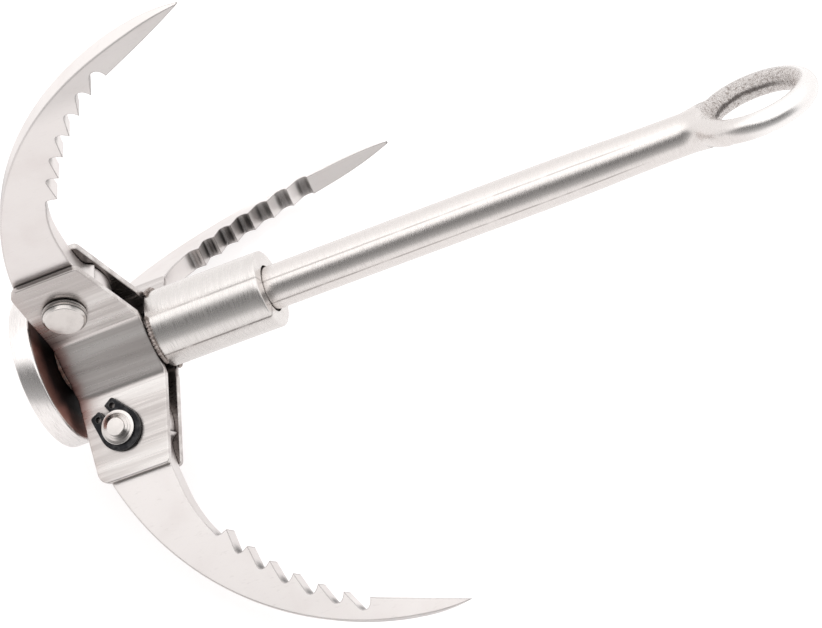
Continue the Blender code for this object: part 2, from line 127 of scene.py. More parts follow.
def fillet(before, corner, after, radius, steps):
    """Arc that rounds a corner, as steps + 1 points."""
    before, corner, after = Vector(before), Vector(corner), Vector(after)
    back, ahead = (before - corner).normalized(), (after - corner).normalized()
    half = back.angle(ahead) / 2
    reach = radius / math.tan(half)
    centre = corner + (back + ahead).normalized() * (radius / math.sin(half))
    first = corner + back * reach - centre
    last = corner + ahead * reach - centre
    sweep = first.angle(last)
    points = []
    for i in range(steps + 1):
        t = i / steps
        spoke = (first * math.sin((1 - t) * sweep) + last * math.sin(t * sweep)) / math.sin(sweep)
        points.append(tuple(centre + spoke))
    return points


def rounded(profile, radii, steps=6):
    """A profile with its corners rounded; a radius of 0 leaves a corner as it is."""
    points = []
    for i, (corner, radius) in enumerate(zip(profile, radii)):
        if radius <= 0:
            points.append(corner)
        else:
            after = profile[(i + 1) % len(profile)]
            points += fillet(profile[i - 1], corner, after, radius, steps)
    return points


def densify(points, step, closed=False):
    """Adds points along straight runs, so that shading has vertices to act on."""
    dense = []
    count = len(points)
    for i in range(count if closed else count - 1):
        start, end = Vector(points[i]), Vector(points[(i + 1) % count])
        parts = max(1, int((end - start).length / step))
        for j in range(parts):
            dense.append(tuple(start + (end - start) * j / parts))
    if not closed:
        dense.append(points[-1])
    return dense


def inset_by_one(points):
    """A counterclockwise outline moved 1 mm inwards, with sharp corners held back."""
    moved = []
    for i in range(len(points)):
        before, here, after = (Vector(points[i - 1]), Vector(points[i]),
                               Vector(points[(i + 1) % len(points)]))
        come, leave = (here - before).normalized(), (after - here).normalized()
        side = Vector((-come.y, come.x))
        middle = side + Vector((-leave.y, leave.x))
        middle = middle.normalized() if middle.length > 1e-6 else side
        reach = 1.0 / max(0.45, middle.dot(side))
        moved.append((here.x + middle.x * reach, here.y + middle.y * reach))
    return moved


def spline(points, steps):
    """Catmull-Rom curve through the points, without its first point."""
    curve = []
    knots = [Vector(point) for point in points]
    knots = [knots[0] * 2 - knots[1]] + knots + [knots[-1] * 2 - knots[-2]]
    for before, start, end, after in zip(knots, knots[1:], knots[2:], knots[3:]):
        for k in range(1, steps + 1):
            t = k / steps
            curve.append(tuple(0.5 * ((2 * start) + (end - before) * t
                                      + (2 * before - 5 * start + 4 * end - after) * t * t
                                      + (3 * start - before - 3 * end + after) * t ** 3)))
    return curve


# ---- mesh helpers ----------------------------------------------------------------
def to_mesh(name, shape):
    mesh = bpy.data.meshes.new(name)
    shape.to_mesh(mesh)
    shape.free()
    return mesh


def smooth(mesh, sharp_angle):
    mesh.shade_smooth()
    mesh.set_sharp_from_angle(angle=math.radians(sharp_angle))
    return mesh


def finish_mesh(name, shape, sharp_angle):
    bmesh.ops.recalc_face_normals(shape, faces=shape.faces[:])
    return smooth(to_mesh(name, shape), sharp_angle)


def around(segments):
    return [2 * math.pi * k / segments for k in range(segments)]


def spun_vert(shape, radius, z, angle):
    return shape.verts.new((radius * MM * math.cos(angle), radius * MM * math.sin(angle), z * MM))


def spun_ring(shape, radius, z, angles):
    """A ring of vertices about Z, or one vertex on the axis."""
    if radius < 1e-9:
        return [shape.verts.new((0, 0, z * MM))]
    return [spun_vert(shape, radius, z, angle) for angle in angles]


def loft(shape, rings, closed=False, caps=False):
    """Joins each ring to the next; closed joins the last to the first as well."""
    pairs = list(zip(rings, rings[1:]))
    if closed:
        pairs.append((rings[-1], rings[0]))
    for near, far in pairs:
        count = max(len(near), len(far))
        for k in range(count):
            j = (k + 1) % count
            if len(near) == 1:
                shape.faces.new((near[0], far[k], far[j]))
            elif len(far) == 1:
                shape.faces.new((near[k], near[j], far[0]))
            else:
                shape.faces.new((near[k], near[j], far[j], far[k]))
    if caps:
        shape.faces.new(rings[0])
        shape.faces.new(rings[-1])


def turned(name, profile, segments, sharp_angle, closed=False):
    """A profile of (radius, z) points turned about Z."""
    shape = bmesh.new()
    angles = around(segments)
    loft(shape, [spun_ring(shape, radius, z, angles) for radius, z in profile], closed)
    return finish_mesh(name, shape, sharp_angle)


def prism(outline, half, radii, steps):
    """A plate with rounded edges: outline in X and Z, thickness along Y.

    radii has the edge radius at each point of the outline.
    """
    count = len(outline)
    inner = inset_by_one(outline)
    shape = bmesh.new()
    rings = []
    # from one flat face (k = 0) out to the side wall (k = steps), then to the other face
    for sign, order in ((-1, range(steps + 1)), (1, range(steps, -1, -1))):
        for k in order:
            angle = math.radians(90.0 * k / steps)
            ring = []
            for (x, z), (inner_x, inner_z), radius in zip(outline, inner, radii):
                inwards = radius * (1 - math.sin(angle))
                height = half - radius + radius * math.cos(angle)
                ring.append(shape.verts.new(((x + (inner_x - x) * inwards) * MM,
                                             sign * height * MM,
                                             (z + (inner_z - z) * inwards) * MM)))
            rings.append(ring)
    for near, far in zip(rings, rings[1:]):
        for k in range(count):
            j = (k + 1) % count
            shape.faces.new((near[k], far[k], far[j], near[j]))
    shape.faces.new(rings[0])
    shape.faces.new(rings[-1])
    return shape


def cylinder_y(radius, y_ends, x=0.0, z=0.0, segments=96):
    """A plain cylinder along Y, used only as a cutter."""
    shape = bmesh.new()
    rings = [[shape.verts.new(((x + radius * math.cos(angle)) * MM, y * MM,
                               (z + radius * math.sin(angle)) * MM))
              for angle in around(segments)] for y in y_ends]
    loft(shape, rings, caps=True)
    bmesh.ops.recalc_face_normals(shape, faces=shape.faces[:])
    return to_mesh("cutter", shape)


def link_new(name, data):
    thing = bpy.data.objects.new(name, data)
    bpy.context.scene.collection.objects.link(thing)
    return thing


def evaluated_mesh(thing):
    """A new mesh with the object's modifiers applied."""
    bpy.context.view_layer.update()
    graph = bpy.context.evaluated_depsgraph_get()
    return bpy.data.meshes.new_from_object(thing.evaluated_get(graph))


def cut(mesh, cutters):
    """Applies exact Boolean cuts and returns the new mesh."""
    work = link_new("work", mesh)
    helpers = []
    for cutter in cutters:
        helper = link_new("cutter", cutter)
        boolean = work.modifiers.new("cut", "BOOLEAN")
        boolean.operation = "DIFFERENCE"
        boolean.solver = "EXACT"
        boolean.object = helper
        helpers.append(helper)
    result = evaluated_mesh(work)
    for thing in helpers + [work]:
        bpy.data.objects.remove(thing, do_unlink=True)
    return smooth(result, 35)


PIECES = []


def piece(node, mesh, body, material, matrix=None, name=None, also=()):
    look = link_new(name or node + "_look", mesh)
    if matrix is not None:
        mesh.transform(matrix)
    mesh.materials.clear()      # leaves just the one slot
    mesh.materials.append(material)
    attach(look, body)
    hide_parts(node, *also)
    PIECES.append(look)
    return look


def weight_normals(look):
    """Keeps large faces flat in the shading."""
    modifier = look.modifiers.new("flat_faces", "WEIGHTED_NORMAL")
    modifier.keep_sharp = True
    modifier.weight = 90


# ---- shader helpers ----------------------------------------------------------------
class Graph:
    """Short calls for building a node tree; an input takes a socket or a plain value."""

    def __init__(self, tree):
        self.tree = tree

    def node(self, kind, **settings):
        node = self.tree.nodes.new("ShaderNode" + kind)
        for key, value in settings.items():
            setattr(node, key, value)
        return node

    def feed(self, socket, value):
        if isinstance(value, bpy.types.NodeSocket):
            self.tree.links.new(value, socket)
        else:
            socket.default_value = value

    def math(self, operation, first, second=None, clamp=False):
        node = self.node("Math", operation=operation, use_clamp=clamp)
        self.feed(node.inputs[0], first)
        if second is not None:
            self.feed(node.inputs[1], second)
        return node.outputs[0]

    def add(self, first, second, clamp=False):
        return self.math("ADD", first, second, clamp)

    def sub(self, first, second, clamp=False):
        return self.math("SUBTRACT", first, second, clamp)

    def mul(self, first, second):
        return self.math("MULTIPLY", first, second)

    def dot(self, first, second):
        node = self.node("VectorMath", operation="DOT_PRODUCT")
        self.feed(node.inputs[0], first)
        self.feed(node.inputs[1], second)
        return node.outputs["Value"]

    def ramp(self, value, span, out=(0.0, 1.0)):
        """Smooth step from out[0] to out[1] while the value crosses the span."""
        node = self.node("MapRange", interpolation_type="SMOOTHSTEP")
        for key, level in zip(("From Min", "From Max", "To Min", "To Max"), (*span, *out)):
            node.inputs[key].default_value = level
        self.feed(node.inputs["Value"], value)
        return node.outputs["Result"]


class Look(Graph):
    """The node tree of one material, in object coordinates (metres)."""

    def __init__(self, name):
        self.material = bpy.data.materials.new(name)
        self.material.use_nodes = True
        super().__init__(self.material.node_tree)
        self.coord = self.node("TexCoord").outputs["Object"]

    def scaled(self, stretch):
        node = self.node("VectorMath", operation="MULTIPLY")
        self.feed(node.inputs[0], self.coord)
        node.inputs[1].default_value = stretch
        return node.outputs[0]

    def noise(self, detail, rough, scale=1.0, stretch=None, vector=None):
        if stretch:
            vector = self.scaled(stretch)
        node = self.node("TexNoise")
        node.inputs["Scale"].default_value = scale
        node.inputs["Detail"].default_value = detail
        node.inputs["Roughness"].default_value = rough
        self.feed(node.inputs["Vector"], vector or self.coord)
        return node.outputs["Fac"]

    def wobble(self, value, amount):
        """A noise centred on 0 and scaled."""
        return self.mul(self.sub(value, 0.5), amount)

    def mix(self, base, over, amount, strength=None):
        """Lays one colour over another, by amount times strength."""
        if strength is not None:
            amount = self.mul(amount, strength)
        node = self.node("Mix", data_type="RGBA", blend_type="MIX")
        # inputs 6 and 7 are the two colours
        for i, value in ((0, amount), (6, base), (7, over)):
            self.feed(node.inputs[i], (*value, 1.0) if isinstance(value, tuple) else value)
        return node.outputs[2]

    def xyz(self):
        node = self.node("SeparateXYZ")
        self.feed(node.inputs[0], self.coord)
        return node.outputs

    def length(self, first, second):
        return self.math("SQRT", self.add(self.mul(first, first), self.mul(second, second)))

    def radius(self):
        x, y, _ = self.xyz()
        return self.length(x, y)

    def eye_distance(self):
        """Distance from the eye's centre, in its plane."""
        x, y, z = self.xyz()
        across = self.add(self.mul(x, math.cos(EYE_TURN)), self.mul(y, math.sin(EYE_TURN)))
        across = self.sub(across, EYE_SHIFT[0] * MM)
        return self.length(across, self.sub(z, EYE_Z * MM))

    def bump(self, height, strength, distance, normal=None):
        node = self.node("Bump")
        node.inputs["Strength"].default_value = strength
        node.inputs["Distance"].default_value = distance
        self.feed(node.inputs["Height"], height)
        if normal is not None:
            self.feed(node.inputs["Normal"], normal)
        return node.outputs["Normal"]

    def normal(self):
        return self.node("NewGeometry").outputs["Normal"]

    def attribute(self, name):
        return self.node("Attribute", attribute_name=name).outputs["Fac"]

    def edge(self, radius, span=(0.01, 0.12)):
        """0 on open faces, up to 1 along edges."""
        bevel = self.node("Bevel", samples=4)
        bevel.inputs["Radius"].default_value = radius
        agree = self.dot(bevel.outputs["Normal"], self.normal())
        return self.ramp(self.sub(1.0, agree), span)

    def hollow(self, distance, span, local=True):
        """1 deep in a recess narrower than the distance, 0 on open faces."""
        node = self.node("AmbientOcclusion", samples=8, only_local=local)
        node.inputs["Distance"].default_value = distance
        return self.ramp(node.outputs["AO"], span, out=(1.0, 0.0))

    def facing(self, direction, span):
        """Rises where the surface leans towards a direction."""
        return self.ramp(self.dot(self.normal(), tuple(direction)), span)

    def rim(self, start, amount):
        """Rises towards the piece's outline as the camera sees it."""
        node = self.node("LayerWeight")
        node.inputs["Blend"].default_value = 0.5
        return self.ramp(node.outputs["Facing"], span=(start, 1.0), out=(0.0, amount))

    def reflection_line(self, azimuth, half=0.00010):
        """1 along a thin, broken straight line down a round bar, at an azimuth in degrees: a
        painted reflection line.
        """
        x, y, _ = self.xyz()
        sine, cosine = math.sin(math.radians(azimuth)), math.cos(math.radians(azimuth))
        aside = self.sub(self.mul(x, sine), self.mul(y, cosine))
        front = self.add(self.mul(x, cosine), self.mul(y, sine))
        waver = self.wobble(self.noise(detail=3.0, rough=0.6, stretch=(0, 0, 90)), amount=0.0003)
        line = self.ramp(self.math("ABSOLUTE", self.add(aside, waver)),
                         span=(half, half * 3.2), out=(1.0, 0.0))
        gaps = self.ramp(self.noise(detail=2.0, rough=0.5, stretch=(60, 60, 120)),
                         span=(0.34, 0.50), out=(0.35, 1.0))
        return self.mul(self.mul(line, gaps), self.math("GREATER_THAN", front, 0.0))

    def finish(self, colour, rough, normal, metallic=1.0):
        inputs = self.tree.nodes["Principled BSDF"].inputs
        self.feed(inputs["Base Color"], colour)
        self.feed(inputs["Roughness"], rough)
        self.feed(inputs["Metallic"], metallic)
        self.feed(inputs["Normal"], normal)
        return self.material


# ---- materials -----------------------------------------------------------------------
# steel tones shared by several materials
WARM = (0.735, 0.700, 0.675)
LIGHT = (0.86, 0.835, 0.815)
DEEP = (0.50, 0.465, 0.450)
# direction away from the light, level with the view
SHADE = Vector((-0.717, 0.639, 0.279)).normalized()
# azimuths of the painted reflection lines down the rod and the sleeve
REFLECTION_LINE_AZ = (22.1, 85.6)
# noise stretches of brushed steel: strokes along the rod, and strokes round it
ALONG = {"fine": (5200, 5200, 260), "streaks": (1300, 1300, 46), "broad": (420, 420, 12)}
ROUND = {"fine": (520, 520, 6500), "streaks": (210, 210, 2600), "broad": (30, 30, 260)}


def brushed(name, strokes, colour, rough, streak, bump, bands=0.0, lines=(), tint=None):
    """Brushed steel.

    streak and bands are the strengths of the fine and broad stripes, the argument after bands
    the strengths of the painted reflection lines down the bar, and tint a function that colours
    the result. The piece is also painted with shade towards its outline and highlights along its
    edges.
    """
    n = Look(name)
    fine = n.noise(stretch=strokes["fine"], detail=2.0, rough=0.6)
    streaks = n.noise(stretch=strokes["streaks"], detail=4.0, rough=0.72)
    broad = n.noise(stretch=strokes["broad"], detail=2.0, rough=0.5)
    tone = n.mix(colour, DEEP, n.ramp(streaks, span=(0.30, 0.70)), strength=streak)
    tone = n.mix(tone, LIGHT, n.ramp(broad, span=(0.50, 0.78), out=(0.0, 0.40)))
    if bands:
        wide = n.noise(stretch=(300, 300, 9), detail=2.0, rough=0.6)
        tone = n.mix(tone, DEEP, n.ramp(wide, span=(0.44, 0.66), out=(0.0, bands)))
        tone = n.mix(tone, LIGHT, n.ramp(wide, span=(0.46, 0.34), out=(0.0, bands * 0.6)))
    # painted reflection lines down the bar
    for azimuth, strength in zip(REFLECTION_LINE_AZ, lines):
        reflection_line_mask = n.reflection_line(azimuth, half=0.00012)
        tone = n.mix(tone, (0.22, 0.20, 0.19), reflection_line_mask, strength)
    # painted shade towards the outline, and painted highlights along the edges
    tone = n.mix(tone, DEEP, n.rim(start=0.78, amount=0.45))
    tone = n.mix(tone, (0.97, 0.955, 0.94), n.edge(radius=0.0003), strength=0.9)
    roughness = n.add(n.wobble(streaks, amount=0.35), rough, clamp=True)
    normal = n.bump(streaks, strength=bump, distance=0.00006)
    normal = n.bump(fine, strength=bump * 0.8, distance=0.00002, normal=normal)
    if tint:
        tone = tint(n, tone)
    return n.finish(tone, roughness, normal)


def plate_tint_and_shade(n, tone):
    """Pinkish tint along the plates' lower edge, with painted shade on the inner faces and in
    recesses.
    """
    z = n.xyz()[2]
    uneven = n.noise(detail=2.0, rough=0.5, scale=260)
    height = n.add(z, n.wobble(uneven, amount=0.004))
    lower = PLATE_Z0 * MM
    low = n.ramp(height, span=(lower + 0.0002, lower + 0.0042), out=(1.0, 0.0))
    near_web = n.ramp(n.radius(), span=(0.013, 0.021), out=(1.0, 0.12))
    tone = n.mix(tone, (0.50, 0.295, 0.265), n.mul(low, near_web), strength=0.62)
    recess = n.hollow(distance=0.0060, span=(0.25, 0.78), local=False)
    normal = n.normal()
    outwards = n.node("VectorMath", operation="NORMALIZE")
    n.feed(outwards.inputs[0], n.scaled((1, 1, 0)))
    inner = n.ramp(n.dot(normal, outwards.outputs[0]), span=(-0.04, 0.05), out=(1.0, 0.0))
    # painted shade on the faces turned towards the rod, and in recesses between parts
    tone = n.mix(tone, (0.12, 0.092, 0.085), inner, strength=0.62)
    tone = n.mix(tone, (0.055, 0.042, 0.038), recess, strength=0.80)
    edge = n.ramp(height, span=(lower - 0.0006, lower + 0.0012), out=(1.0, 0.0))
    return n.mix(tone, (0.26, 0.12, 0.10), n.mul(edge, near_web), strength=0.55)


def claw_metal():
    """Satin steel with painted shade along its edges, towards its outline and deep in its gullets,
    duller at the point.
    """
    n = Look("claw_steel_look")
    fine = n.noise(detail=3.0, rough=0.7, scale=2600)
    cloud = n.noise(detail=3.0, rough=0.55, scale=90)
    scratches = n.noise(stretch=(900, 160, 160), detail=4.0, rough=0.7)
    stain = n.ramp(cloud, span=(0.45, 0.80), out=(0.0, 0.13))
    tone = n.mix((0.815, 0.780, 0.765), (0.60, 0.50, 0.48), stain)
    tone = n.mix(tone, LIGHT, n.ramp(scratches, span=(0.60, 0.80), out=(0.0, 0.20)))
    rubbed = n.noise(stretch=(2600, 340, 340), detail=4.0, rough=0.75)
    tone = n.mix(tone, DEEP, n.ramp(rubbed, span=(0.56, 0.78), out=(0.0, 0.34)))
    # painted shade: near black deep in the gullets, a dark line along the edges outside them, and
    # darker towards the outline
    gullet = n.hollow(distance=0.0042, span=(0.60, 0.96))
    line = n.mul(n.edge(radius=0.00042, span=(0.004, 0.05)), n.sub(1.0, gullet, clamp=True))
    tone = n.mix(tone, (0.20, 0.185, 0.18), line, strength=0.85)
    tone = n.mix(tone, (0.26, 0.24, 0.235), n.rim(start=0.80, amount=0.90))
    tone = n.mix(tone, (0.035, 0.030, 0.029), gullet, strength=0.97)
    roughness = n.add(n.wobble(cloud, amount=0.16), 0.31, clamp=True)
    normal = n.bump(fine, strength=0.20, distance=0.00003)
    normal = n.bump(scratches, strength=0.06, distance=0.00003, normal=normal)
    point = n.ramp(n.radius(), span=(0.0830, 0.0915), out=(1.0, 0.35))
    return n.finish(tone, roughness, normal, metallic=point)


def rod_metal():
    """Drawn bar with fine marks round it, and a cast, grainy surface inside the eye."""
    n = Look("rod_steel_look")
    z = n.xyz()[2]
    lines = n.noise(stretch=(430, 430, 3600), detail=4.0, rough=0.75)
    flecks = n.noise(stretch=(900, 900, 2400), detail=3.0, rough=0.7)
    cast = n.noise(detail=4.0, rough=0.75, scale=1300)
    fine = n.noise(detail=2.0, rough=0.6, scale=4200)
    neck_up = n.ramp(z, span=metres(EYE_Z - EYE_OUT - 3.0, EYE_Z - EYE_OUT + 4.0))
    inside = n.ramp(n.math("ABSOLUTE", n.sub(n.eye_distance(), 0.0)),
                    span=metres(EYE_MEAN_R - 0.9, EYE_MEAN_R + 0.5), out=(1.0, 0.0))
    hole_wall = n.mul(neck_up, inside)
    tone = n.mix((0.81, 0.775, 0.755), DEEP, n.ramp(lines, span=(0.38, 0.74), out=(0.0, 0.22)))
    tone = n.mix(tone, LIGHT, n.ramp(flecks, span=(0.56, 0.74), out=(0.0, 0.30)))
    # painted reflection lines down the bar, fading out towards the eye
    for azimuth, strength in zip(REFLECTION_LINE_AZ, (0.45, 0.60)):
        reflection_line_mask = n.mul(n.reflection_line(azimuth), strength)
        fade = n.ramp(z, span=(0.165, 0.180), out=(1.0, 0.0))
        tone = n.mix(tone, (0.26, 0.235, 0.22), n.mul(reflection_line_mask, fade))
    # painted highlight: the eye's ring, outside its hole, is lightened towards white
    ring = n.mul(n.ramp(z, span=metres(EYE_Z - 6.0, EYE_Z + 4.0)),
                 n.sub(1.0, inside, clamp=True))
    tone = n.mix(tone, (0.985, 0.97, 0.96), ring, strength=0.85)
    # painted shade towards the outline
    tone = n.mix(tone, DEEP, n.rim(start=0.74, amount=0.75))
    grain = n.ramp(cast, span=(0.48, 0.64), out=(0.0, 0.82))
    tone = n.mix(tone, (0.36, 0.310, 0.285), n.mul(hole_wall, grain))
    # painted shadow of a ridge: a wavering dark line along the middle of the hole's wall
    x, y, _ = n.xyz()
    across = n.add(n.mul(x, -math.sin(EYE_TURN)), n.mul(y, math.cos(EYE_TURN)))
    across = n.sub(across, EYE_SHIFT[1] * MM)
    across = n.add(across, n.wobble(n.noise(detail=2.0, rough=0.6, scale=420), amount=0.0016))
    offset = 0.0002
    line = n.ramp(n.math("ABSOLUTE", n.add(across, offset)), span=(0.0002, 0.0010),
                  out=(1.0, 0.0))
    line = n.mul(line, n.ramp(z, span=metres(EYE_Z + 2.0, EYE_Z + 9.0), out=(1.0, 0.25)))
    tone = n.mix(tone, (0.10, 0.085, 0.08), n.mul(hole_wall, line), strength=0.85)
    # painted shade in recesses
    recess = n.hollow(distance=0.003, span=(0.40, 0.85))
    tone = n.mix(tone, (0.09, 0.08, 0.075), recess, strength=0.8)
    roughness = n.add(n.wobble(lines, amount=0.24), 0.27, clamp=True)
    normal = n.bump(lines, strength=0.34, distance=0.00009)
    normal = n.bump(fine, strength=0.12, distance=0.00003, normal=normal)
    normal = n.bump(n.mul(cast, hole_wall), strength=0.9, distance=0.0007, normal=normal)
    return n.finish(tone, roughness, normal)


def disc_metal():
    """Turned disc: bright rim with painted highlights on its edges, and a heat-tinted face round
    the weld, darkened towards the weld to near black by painted shade.
    """
    n = Look("disc_steel_look")
    z = n.xyz()[2]
    radius = n.radius()
    turning = n.noise(stretch=(260, 260, 3000), detail=3.0, rough=0.7)
    # noise that depends on the radius alone
    by_radius = n.node("CombineXYZ")
    rings_per_metre = 5200.0
    n.feed(by_radius.inputs[0], n.mul(radius, rings_per_metre))
    rings = n.noise(vector=by_radius.outputs[0], detail=3.0, rough=0.7)
    cloud = n.noise(detail=3.0, rough=0.6, scale=180)
    face = n.mul(n.ramp(z, span=metres(FOOT_H - 0.25, FOOT_H - 0.05)),
                 n.ramp(radius, span=metres(FOOT_R - 0.9, FOOT_R - 0.5), out=(1.0, 0.0)))
    tone = n.mix((0.93, 0.90, 0.885), DEEP, n.ramp(turning, span=(0.40, 0.72), out=(0.0, 0.30)))
    # painted highlights along the edges
    tone = n.mix(tone, LIGHT, n.edge(radius=0.0005), strength=0.8)
    uneven = n.add(radius, n.wobble(cloud, amount=0.005))
    # reddish heat tint towards the rim; the near black towards the weld is painted shade
    heat_tint_and_shade = n.mix((0.028, 0.019, 0.019), (0.34, 0.165, 0.135),
                 n.ramp(uneven, span=metres(FOOT_R - 8.5, FOOT_R - 1.6)))
    heat_tint_and_shade = n.mix(heat_tint_and_shade, (0.50, 0.33, 0.29),
                 n.ramp(uneven, span=metres(FOOT_R - 2.6, FOOT_R - 0.8), out=(0.0, 0.6)))
    tone = n.mix(tone, heat_tint_and_shade, face)
    # the tinted face is rougher than the rim
    roughness = n.add(n.wobble(turning, amount=0.25), n.add(0.26, n.mul(face, 0.22)), clamp=True)
    normal = n.bump(turning, strength=0.25, distance=0.00006)
    normal = n.bump(rings, strength=0.20, distance=0.00004, normal=normal)
    return n.finish(tone, roughness, normal)


def pin_metal():
    """Turned pin: the cone at its ringed end falls into shade on the side away from the light."""
    n = Look("pin_steel_look")
    fine = n.noise(detail=3.0, rough=0.7, scale=2400)
    cloud = n.noise(detail=2.0, rough=0.5, scale=300)
    tone = n.mix(WARM, DEEP, n.ramp(cloud, span=(0.42, 0.75), out=(0.0, 0.22)))
    # painted highlight along the edges
    tone = n.mix(tone, (0.98, 0.965, 0.955), n.edge(radius=0.0003), strength=0.85)
    cone = n.attribute("cone")
    shade = n.mul(n.facing(SHADE, span=(0.02, 0.30)), cone)
    tone = n.mix(tone, (0.10, 0.095, 0.09), shade, strength=0.88)
    # painted shade in the head's creases and in recesses
    tone = n.mix(tone, (0.09, 0.085, 0.08), n.attribute("crease"), strength=0.85)
    recess = n.hollow(distance=0.0015, span=(0.35, 0.85))
    tone = n.mix(tone, (0.11, 0.10, 0.095), recess, strength=0.75)
    roughness = n.add(n.wobble(cloud, amount=0.2), 0.24, clamp=True)
    return n.finish(tone, roughness, n.bump(fine, strength=0.16, distance=0.00003))


def clip_metal():
    """Black steel with faintly lighter edges, a painted highlight."""
    n = Look("clip_black_look")
    fine = n.noise(detail=3.0, rough=0.7, scale=2200)
    cloud = n.noise(detail=3.0, rough=0.6, scale=500)
    tone = n.mix((0.012, 0.012, 0.014), (0.050, 0.050, 0.052), n.ramp(cloud, span=(0.42, 0.70)))
    tone = n.mix(tone, (0.20, 0.195, 0.19), n.edge(radius=0.0003), strength=0.5)
    roughness = n.add(n.mul(cloud, 0.25), 0.22, clamp=True)
    return n.finish(tone, roughness, n.bump(fine, strength=0.25, distance=0.00004),
                    metallic=0.75)


def weld_metal(name, colour):
    """Lumpy weld metal with light flecks."""
    n = Look(name)
    lumps = n.noise(detail=4.0, rough=0.7, scale=900)
    fine = n.noise(detail=3.0, rough=0.7, scale=3000)
    tone = n.mix((0.20, 0.165, 0.15), colour, n.ramp(lumps, span=(0.38, 0.62)))
    tone = n.mix(tone, LIGHT, n.ramp(fine, span=(0.60, 0.75), out=(0.0, 0.6)))
    normal = n.bump(lumps, strength=0.6, distance=0.0002)
    normal = n.bump(fine, strength=0.3, distance=0.00006, normal=normal)
    return n.finish(tone, rough=0.42, normal=normal)


ROD_STEEL = rod_metal()
# the sleeve carries two painted reflection lines down it
SLEEVE_STEEL = brushed("sleeve_steel_look", ROUND, colour=(0.80, 0.775, 0.755), rough=0.27,
                       streak=0.22, bump=0.18, lines=(0.40, 0.75))
PLATE_STEEL = brushed("plate_steel_look", ALONG, colour=(0.70, 0.665, 0.645), rough=0.30,
                      streak=0.45, bump=0.22, bands=0.85, tint=plate_tint_and_shade)
CLAW_STEEL = claw_metal()
DISC_STEEL = disc_metal()
PIN_STEEL = pin_metal()
CLIP_BLACK = clip_metal()
WELD_STEEL = weld_metal("weld_steel_look", colour=(0.46, 0.41, 0.385))
FOOT_WELD_STEEL = weld_metal("foot_weld_look", colour=(0.34, 0.20, 0.16))


# ---- rod and eye: one smooth forging -----------------------------------------------
EYE_ACROSS = np.array([math.cos(EYE_TURN), math.sin(EYE_TURN), 0.0])     # in the ring's plane
EYE_AXIS = np.array([-math.sin(EYE_TURN), math.cos(EYE_TURN), 0.0])
SPLIT_Z = 168.0             # turned bar below, sculpted head above
DRAWN_Z0 = 150.0            # the bar thins from here up to DRAWN_Z1
DRAWN_Z1 = EYE_Z - EYE_OUT - 6.0
DRAWN_BY = 0.55
NECK_BLEND = 4.6            # how far the bar and the ring flow together
LAP_BLEND = 0.7
LAP_ARC = (-76.0, -38.0)    # stretch of the ring with the thicker lap, in degrees
LAP_SHIFT = 0.55            # along the ring's axis
LAP_EXTRA = 0.42


def smooth_min(first, second, width):
    share = np.clip(0.5 + 0.5 * (second - first) / width, 0, 1)
    return second * (1 - share) + first * share - width * share * (1 - share)


def rod_radius(z):
    """Bar radius along the rod: plain, then drawn down towards the eye."""
    t = np.clip((z - DRAWN_Z0) / (DRAWN_Z1 - DRAWN_Z0), 0, 1)
    return ROD_R - DRAWN_BY * t * t * (3 - 2 * t)


def forging_distance(points):
    """Signed distance to the rod with its eye."""
    across, axial = points @ EYE_ACROSS - EYE_SHIFT[0], points @ EYE_AXIS - EYE_SHIFT[1]
    z = points[:, 2]
    above = z - EYE_Z
    ring = np.hypot(across, above)
    tube = np.hypot(ring - EYE_MEAN_R, axial * EYE_BAR_R / EYE_BAR_W) - (EYE_BAR_R - 0.03)
    bar_top = EYE_Z - EYE_MEAN_R - 0.5
    radial = np.hypot(points[:, 0], points[:, 1]) - rod_radius(z)
    body = smooth_min(np.maximum(radial, z - bar_top), tube, NECK_BLEND)
    # the lap against the neck, on one side
    degrees = np.degrees(np.arctan2(above, across))
    angle = np.radians(np.clip(degrees, *LAP_ARC))
    core = np.stack([EYE_MEAN_R * np.cos(angle), np.zeros_like(angle),
                     EYE_MEAN_R * np.sin(angle)], 1)
    local = np.stack([across, axial - LAP_SHIFT, above], 1)
    swell = LAP_EXTRA * np.clip((-degrees - 34.0) / 26.0, 0, 1)
    lap = np.linalg.norm(local - core, axis=1) - (EYE_BAR_R + swell)
    return smooth_min(body, lap, LAP_BLEND)


def rough_head():
    """Plain bar and ring, joined by a voxel remesh."""
    shape = bmesh.new()
    rings = []
    for angle in around(96):
        row = []
        for turn in around(24):
            radius = EYE_MEAN_R + EYE_BAR_R * math.cos(turn)
            flat = (EYE_ACROSS * (radius * math.cos(angle) + EYE_SHIFT[0])
                    + EYE_AXIS * (EYE_BAR_W * math.sin(turn) + EYE_SHIFT[1]))
            row.append(shape.verts.new((flat[0] * MM, flat[1] * MM,
                                        (EYE_Z + radius * math.sin(angle)) * MM)))
        rings.append(row)
    loft(shape, rings, closed=True)
    profile = [
        (0, SPLIT_Z - 6),
        (ROD_R, SPLIT_Z - 6),
        (ROD_R * 0.95, EYE_Z - EYE_OUT - 4),
        (ROD_R * 1.02, EYE_Z - EYE_OUT + 2),
        (ROD_R * 0.7, EYE_Z - EYE_MEAN_R),
        (0, EYE_Z - EYE_MEAN_R),
    ]
    angles = around(96)
    loft(shape, [spun_ring(shape, radius, z, angles) for radius, z in profile])
    bmesh.ops.recalc_face_normals(shape, faces=shape.faces[:])
    work = link_new("forging_work", to_mesh("forging", shape))
    remesh = work.modifiers.new("r", "REMESH")
    remesh.mode = "VOXEL"
    remesh.voxel_size = 0.00050
    relax = work.modifiers.new("s", "SMOOTH")
    relax.iterations = 6
    relax.factor = 0.5
    head = evaluated_mesh(work)
    bpy.data.objects.remove(work, do_unlink=True)
    return head


